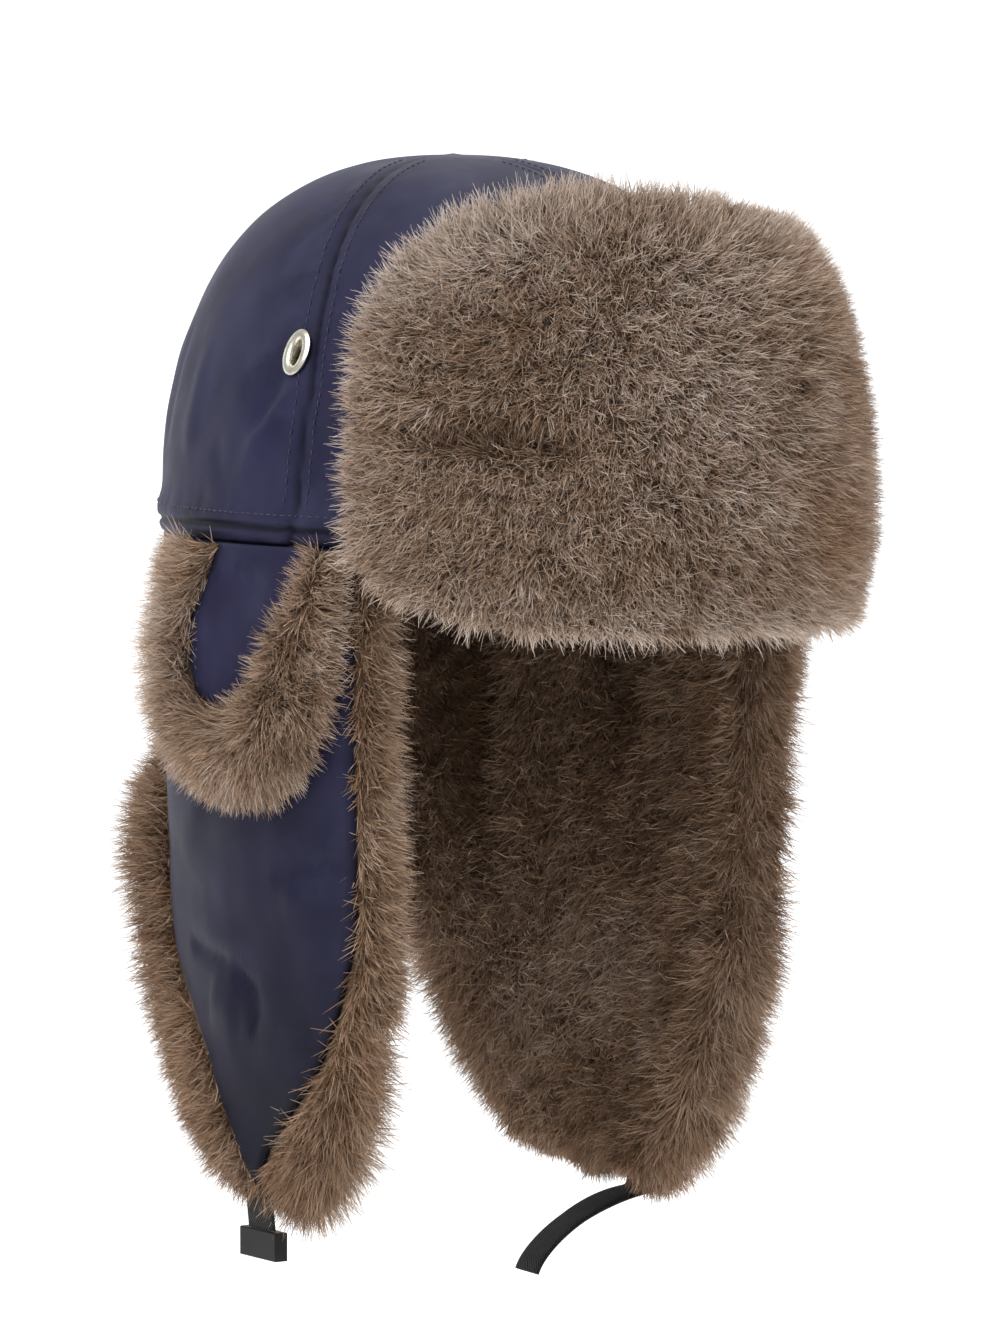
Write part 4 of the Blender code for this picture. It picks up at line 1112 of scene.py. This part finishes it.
# Fur of the front flap: a pad as high as the root of (1 - down^4)(1 - across^5), pressed in at the dark tones
def makeFrontFur():
    shape = frontShape
    turns, heights = frontGrid(shape["margin"], shape["columns"], shape["rows"])
    down = np.linspace(-1, 1, shape["rows"])[:, None]
    across = np.linspace(-1, 1, shape["columns"])[None, :]
    full = np.sqrt(np.clip((1 - np.abs(down) ** 4) * (1 - np.abs(across) ** 5), 0, 1))
    share = frontShare(heights)
    seat = frontSeat + (shape["backing"] + form["skinGap"])
    dent = shape["dent"] * patches(turns, heights, [row[:4] + (min(row[4], 0.0),) for row in frontTones])
    high = np.maximum(shape["thick"] * (0.28 + 0.72 * full) - shape["inset"], 0.0008) + dent * full
    high *= 1 + patches(turns, heights, frontReach)
    face = formPoint(turns, heights, seat + np.maximum(high, 0.0006), share)
    skin = addSlab("frontFurSkin", face, formPoint(turns, heights, seat, share))
    dress(skin, underFur, ["front_flap_fur"])

    normals = gridNormals(face, outFrom(face, turns, heights))
    rim = np.clip(1 - full, 0, 1)
    comb = downWay * (0.55 + 2.2 * edgePull(down))[..., None]
    comb = comb + levelWay(turns) * (-0.30 + 2.0 * edgePull(across))[..., None]
    roots, rootNormals, blend = scatter(face, normals, 1 + 1.2 * rim, shape["count"], 31)
    turn, height, edge = (blend(values)[:, 0] for values in (turns, heights, rim))
    tone = patches(turn, height, frontTones) + 0.02 + 1.0 * edge
    length = shape["hair"] * (1 + patches(turn, height, frontReach))
    growHair(
        "furFront", roots, rootNormals, blend(comb), shape["lift"] - 0.10 * edge, length, shape["width"],
        tone, patches(turn, height, frontRust), 310,
    )


makeFrontBacking()
makeFrontFur()
print("front flap made")

# Ear covers
coverShape = {
    "turn": 93.0, "width": 0.046, "drop": 0.050, "stand": 0.0075, "wall": 0.0016, "margin": 0.0160,
    "foot": 0.0260, "rim": 0.0060, "shift": 0.0115, "shiftDrop": 0.025, "inset": 0.0028, "power": 2.6,
    "sweep": 78, "spread": 0.97, "columns": 41, "rows": 36, "puff": 0.004, "sewnIn": 0.0040,
    "sewnSpread": 0.83, "borderColumns": 12, "underRows": 14, "rimRows": 16, "furSpread": 0.985,
    "padThick": 0.0015, "hair": 0.0082, "hairWidth": 0.00045, "lift": 0.62, "count": 20000,
    "backTurn": 100, "backReach": 0.80, "rust": 0.10,
}
coverTones = {
    -1: ((-119, -0.035, 13, 0.040, 1.60), (-80, -0.050, 6, 0.020, -0.05)),
    1: ((108, -0.050, 6, 0.025, 0.35),),
}
coverHalf = math.degrees(coverShape["width"] / 2 / form["halfLength"])


# Places across a cover, closer together at its sides: the sine of even steps
def coverSpread(columns):
    sweep = math.radians(coverShape["sweep"])
    return np.sin(np.linspace(-sweep, sweep, columns)) / math.sin(sweep) * coverShape["spread"]


# Turn by which the cloth lies to the front near its top: the shift times the height left to the power 0.7
def coverShift(height):
    left = np.clip(1 + height / coverShape["shiftDrop"], 0, 1)
    return math.degrees(coverShape["shift"] / form["halfLength"]) * left**0.7


# How far out a cover stands: two gaps, and the stand times its share of the drop to the power 0.8
def coverStand(height):
    return 2 * form["skinGap"] + coverShape["stand"] * np.clip(-height / coverShape["drop"], 0, 1) ** 0.8


# Lower edge of an ear cover: an oval
def coverEdge(spreadAcross, drop, top):
    return top - (drop + top) * ovalRise(spreadAcross, coverShape["power"])


# Cloth of a cover: a plate that hangs from the brow, thinner at its edge, with painted shade along that edge
def makeCoverCloth(side, label, replaced):
    shape, spreadAcross, top = coverShape, coverSpread(coverShape["columns"]), -form["gap"] * 2
    low = coverEdge(spreadAcross, shape["drop"], top)
    heights = top + (low - top)[None, :] * np.linspace(0, 1, shape["rows"])[:, None]
    turns = side * (shape["turn"] + spreadAcross * coverHalf - coverShift(heights))
    share, seat = bandShare(heights), coverStand(heights)
    nearSide = (shape["spread"] - np.abs(spreadAcross))[None, :] * shape["width"] / 2
    puffed = np.clip(np.minimum(heights - low[None, :], nearSide) / shape["puff"], 0, 1)
    points = formPoint(turns, heights, 0.0, share)
    rough = 0.0006 * softNoise(points, 0.016, 41) + 0.0003 * softNoise(points, 0.006, 42)
    out = seat + shape["wall"] * (0.55 + 0.45 * puffed) + puffed * rough
    face, back = (formPoint(turns, heights, level, share) for level in (out, seat))
    cloth = addSlab(label + "Cloth", face, back)
    # mark 'seam': painted shade along the cover's edge, where the cloth thins
    setMark(cloth, "seam", np.concatenate([(1 - puffed).ravel() * 0.7, np.zeros(heights.size)]))
    dress(cloth, nylon, [replaced])


# Row of stitches inside a cover's edge
def sewCover(side, label):
    shape, spreadAcross = coverShape, coverSpread(160)
    heights = coverEdge(spreadAcross, shape["drop"] - shape["sewnIn"], -form["gap"] * 2)
    turns = side * (shape["turn"] + spreadAcross * coverHalf * shape["sewnSpread"] - coverShift(heights))
    row = formPoint(turns, heights, coverStand(heights) + shape["wall"] + 0.0001, bandShare(heights))
    addStitches(label + "Stitches", [sewRow(row, outFrom(row, turns, heights))])


# Fur pad of a cover: thin behind the cloth, with a full rim past its sides and foot that bulges as a sine and
# rounds off as the root of 1 - border^4
def makeCoverFur(side, label, name, replaced):
    shape, spreadAcross, top = coverShape, coverSpread(coverShape["columns"]), -form["gap"] * 4
    border = np.linspace(1, 0.05, shape["borderColumns"])
    offsets = spreadAcross * coverHalf
    margin, gapTurn = (math.degrees(size / form["halfLength"]) for size in (shape["margin"], form["skinGap"]))
    wing = offsets[-1] + gapTurn + (margin - gapTurn) * border
    columns = np.concatenate([-wing, offsets, wing[::-1]])
    sideBorder = np.concatenate([border, np.zeros(len(offsets)), border[::-1]])
    clothSpread = np.clip(columns / coverHalf, -shape["spread"], shape["spread"])
    lowCloth = coverEdge(clothSpread, shape["drop"], top)
    furSpread = columns / np.abs(columns).max() * shape["furSpread"]
    lowFur = coverEdge(furSpread, shape["drop"] + shape["foot"], top)
    under = top + (lowCloth - top)[None, :] * np.linspace(0, 1, shape["underRows"])[:, None]
    past = np.linspace(0, 1, shape["rimRows"] + 1)[1:]
    beyond = lowCloth - form["skinGap"] + (lowFur - lowCloth + form["skinGap"]) * past[:, None]
    heights = np.concatenate([under, beyond])
    rowBorder = np.concatenate([np.zeros(len(under)), past])
    borders = 1 - (1 - rowBorder[:, None]) * (1 - sideBorder[None, :])
    turns = side * (shape["turn"] + columns - coverShift(heights) * (1 - sideBorder))
    back = coverStand(heights)
    bulge = shape["rim"] * np.sin(np.pi * np.clip(0.2 + 0.75 * borders, 0, 1))
    outer = np.where(borders > 0, back + shape["wall"] + bulge - shape["inset"], back - form["gap"])
    roundOff = np.where(borders > 0, np.sqrt(np.clip(1 - borders**4, 0, 1)), 1)
    seat = form["skinGap"]
    outer = seat + shape["padThick"] + (outer - seat - shape["padThick"]) * roundOff
    share = bandShare(heights)
    face = formPoint(turns, heights, outer, share)
    skin = addSlab(label + "FurSkin", face, formPoint(turns, heights, seat, share))
    dress(skin, underFur, [replaced])

    normals = gridNormals(face, outFrom(face, turns, heights))
    away = np.broadcast_to(columns / coverHalf, heights.shape)[..., None]
    fall = np.clip(-heights / shape["drop"], 0.15, 1.2)[..., None]
    comb = levelWay(turns) * side * away + downWay * fall
    weight = np.where(borders > 0.02, 1.0, 0.0)
    roots, rootNormals, blend = scatter(face, normals, weight, shape["count"], 51 + side)
    turn, height, edge = (blend(values)[:, 0] for values in (turns, heights, borders))
    tone = patches(turn, height, coverTones[side]) - 0.05 + 0.25 * edge
    behind = np.clip((np.abs(turn) - shape["backTurn"]) / 12, 0, 1)
    length = shape["hair"] * (1 + shape["backReach"] * behind * np.clip(-height / shape["drop"], 0, 1))
    rust = np.full(len(roots), shape["rust"])
    growHair(
        name, roots, rootNormals, blend(comb), shape["lift"], length, shape["hairWidth"], tone, rust,
        510 + side,
    )


def makeCover(side, label, name, replacedShell, replacedFur):
    makeCoverCloth(side, label, replacedShell)
    sewCover(side, label)
    makeCoverFur(side, label, name, replacedFur)


makeCover(-1, "earCoverRight", "furCoverRight", "ear_cover_right_shell", "ear_cover_right_fur")
makeCover(1, "earCoverLeft", "furCoverLeft", "ear_cover_left_shell", "ear_cover_left_fur")
print("ear covers made")

# Chin strap
strapShape = {
    "width": 0.0150, "thick": 0.0015, "sewn": 0.016, "dropRight": 0.017, "reach": 0.043, "fall": 0.024,
    "start": 0.007, "heading": 166.0, "reachPower": 1.35, "fallPower": 1.6, "steps": 80, "sides": 24,
    "widthPower": 0.35, "thickPower": 0.6, "smoothings": 3,
}
strapSag = strapShape["width"] ** 2 / 8 * form["halfWidth"] / form["halfLength"] ** 2
strapOut = -(form["wall"] + form["skinGap"] / 2 + strapSag + strapShape["thick"] / 2)


# Seat of a strap inside its flap at a height, and the level way across it
def strapSeat(side, height):
    here = formPoint(side * form["strapTurn"], height, strapOut, bandShare(height))
    beside = formPoint(side * (form["strapTurn"] + 1.0), height, strapOut, bandShare(height))
    return here, unit(beside - here)


# Strap: a flat oval section, powers of the sine and cosine, carried along a path with the way across given
def makeStrap(name, path, ways, replaced):
    shape, path, ways = strapShape, np.array(path), unit(np.array(ways))
    lengths = pathLengths(path)
    at = np.linspace(0, lengths[-1], shape["steps"])
    path, ways = readPath(at, lengths, path), unit(readPath(at, lengths, ways))
    for _ in range(shape["smoothings"]):
        path[1:-1] = (path[:-2] + 2 * path[1:-1] + path[2:]) / 4
    normal = unit(np.cross(np.gradient(path, axis=0), ways))
    angle = np.linspace(0, 2 * np.pi, shape["sides"] + 1)[:-1]
    across = np.sign(np.cos(angle)) * np.abs(np.cos(angle)) ** shape["widthPower"] * shape["width"] / 2
    high = np.sign(np.sin(angle)) * np.abs(np.sin(angle)) ** shape["thickPower"] * shape["thick"] / 2
    points = path[:, None] + ways[:, None] * across[None, :, None] + normal[:, None] * high[None, :, None]
    rows, columns = points.shape[:2]
    ring = np.arange(columns)[None, :]
    ends = [ring[:, ::-1], (rows - 1) * columns + ring]
    strap = addMesh(name, points, [gridQuads(rows, columns, 0, True), *ends])
    strap.data.set_sharp_from_angle(angle=math.radians(60))
    setMark(strap, "run", np.repeat(at, columns))
    setMark(strap, "across", np.tile(across, rows))
    dress(strap, webbing, [replaced])


# Right end: straight down its flap, from inside it to the buckle
def rightPath():
    tip = -float(bandDepth(-form["strapTurn"]))
    heights = np.linspace(tip + strapShape["sewn"], tip - strapShape["dropRight"], 12)
    seats = [strapSeat(-1, height) for height in heights]
    return [seat for seat, _ in seats], [way for _, way in seats]


# Left end: down inside its flap, then inwards by 1 - (1 - share)^reachPower and down by share^fallPower
def leftPath():
    head, across = strapSeat(1, strapShape["sewn"] - float(bandDepth(form["strapTurn"])))
    foot, _ = strapSeat(1, -float(furDepth(form["strapTurn"])) - strapShape["start"])
    heading = math.radians(strapShape["heading"])
    inward = np.array([math.cos(heading), math.sin(heading), 0])
    turned = np.array([math.sin(heading), -math.cos(heading), 0])
    path = [head + (foot - head) * share for share in np.linspace(0, 0.5, 6)]
    ways = [across] * 6
    for share in np.linspace(0, 1, 25):
        reach = inward * strapShape["reach"] * (1 - (1 - share) ** strapShape["reachPower"])
        path.append(foot + reach + downWay * (strapShape["fall"] * share ** strapShape["fallPower"]))
        blendShare = min(1.0, share * 2)
        ways.append(unit(across * (1 - blendShare) + turned * blendShare))
    return path, ways


makeStrap("strapRightWebbing", *rightPath(), "strap_right")
makeStrap("strapLeftWebbing", *leftPath(), "strap_left")
buckle = frame["nodes"]["buckle_right"]
buckle.data.materials.clear()
buckle.data.materials.append(plastic)
print("straps made")

# Floor, backdrop and lights
studio = {
    "floor": -0.62, "ahead": 12.0, "level": 4.0, "bend": 4.0, "high": 14.0, "halfWidth": 14.0,
    "paper": (0.90, 0.90, 0.90, 1), "glow": 0.55, "air": (0.95, 0.97, 1.0, 1), "airStrength": 0.55,
}
# Each light: turn from the camera and rise in degrees, distance, size across, power
lights = {
    "keyLight": (-38, 48, 2.2, 1.1, 34), "fillLight": (50, 22, 2.6, 1.6, 14),
    "topLight": (160, 70, 2.4, 1.4, 16),
}


# Paper sweep: floor running back into a quarter circle and up, and turned to face the camera
def makeSweep():
    turn = math.radians(photoView["turn"])
    bend = np.linspace(0, math.pi / 2, 24)
    level, radius = studio["level"], studio["bend"]
    run = np.concatenate([[-studio["ahead"], 0.0], level + radius * np.sin(bend), [level + radius]])
    rise = np.concatenate([[0.0, 0.0], radius - radius * np.cos(bend), [studio["high"]]]) + studio["floor"]
    wide = np.linspace(-studio["halfWidth"], studio["halfWidth"], 5)
    away = np.array([-math.sin(turn), math.cos(turn), 0])
    right = np.array([math.cos(turn), math.sin(turn), 0])
    points = run[:, None, None] * away + wide[None, :, None] * right - rise[:, None, None] * downWay
    sweep = addMesh("paperSweep", points, [gridQuads(len(run), len(wide))[:, ::-1]], closed=False)
    material, tree, shader = newMaterial("sweepPaper")
    setSockets(shader, {
        "Base Color": studio["paper"], "Roughness": 0.9, "Emission Color": (1, 1, 1, 1),
        "Emission Strength": studio["glow"],
    })
    sweep.data.materials.append(material)


def addLight(name, turnFromCamera, rise, distance, size, power):
    way = wayOut(photoView["turn"] + turnFromCamera, rise)
    light = bpy.data.objects.new(name, bpy.data.lights.new(name, "AREA"))
    light.data.shape = "DISK"
    light.data.size = size
    light.data.energy = power
    light.location = way * distance
    light.rotation_euler = way.to_track_quat("Z", "Y").to_euler()
    bpy.context.collection.objects.link(light)


makeSweep()
for name, values in lights.items():
    addLight(name, *values)
world = bpy.data.worlds.new("studioAir")
world.use_nodes = True
setSockets(world.node_tree.nodes["Background"], {"Color": studio["air"], "Strength": studio["airStrength"]})
bpy.context.scene.world = world
bpy.context.scene.view_settings.view_transform = "Standard"
print("studio made")

total = sum(len(piece.data.polygons) for piece in bpy.data.objects if piece.type == "MESH")
print("faces in all", total)
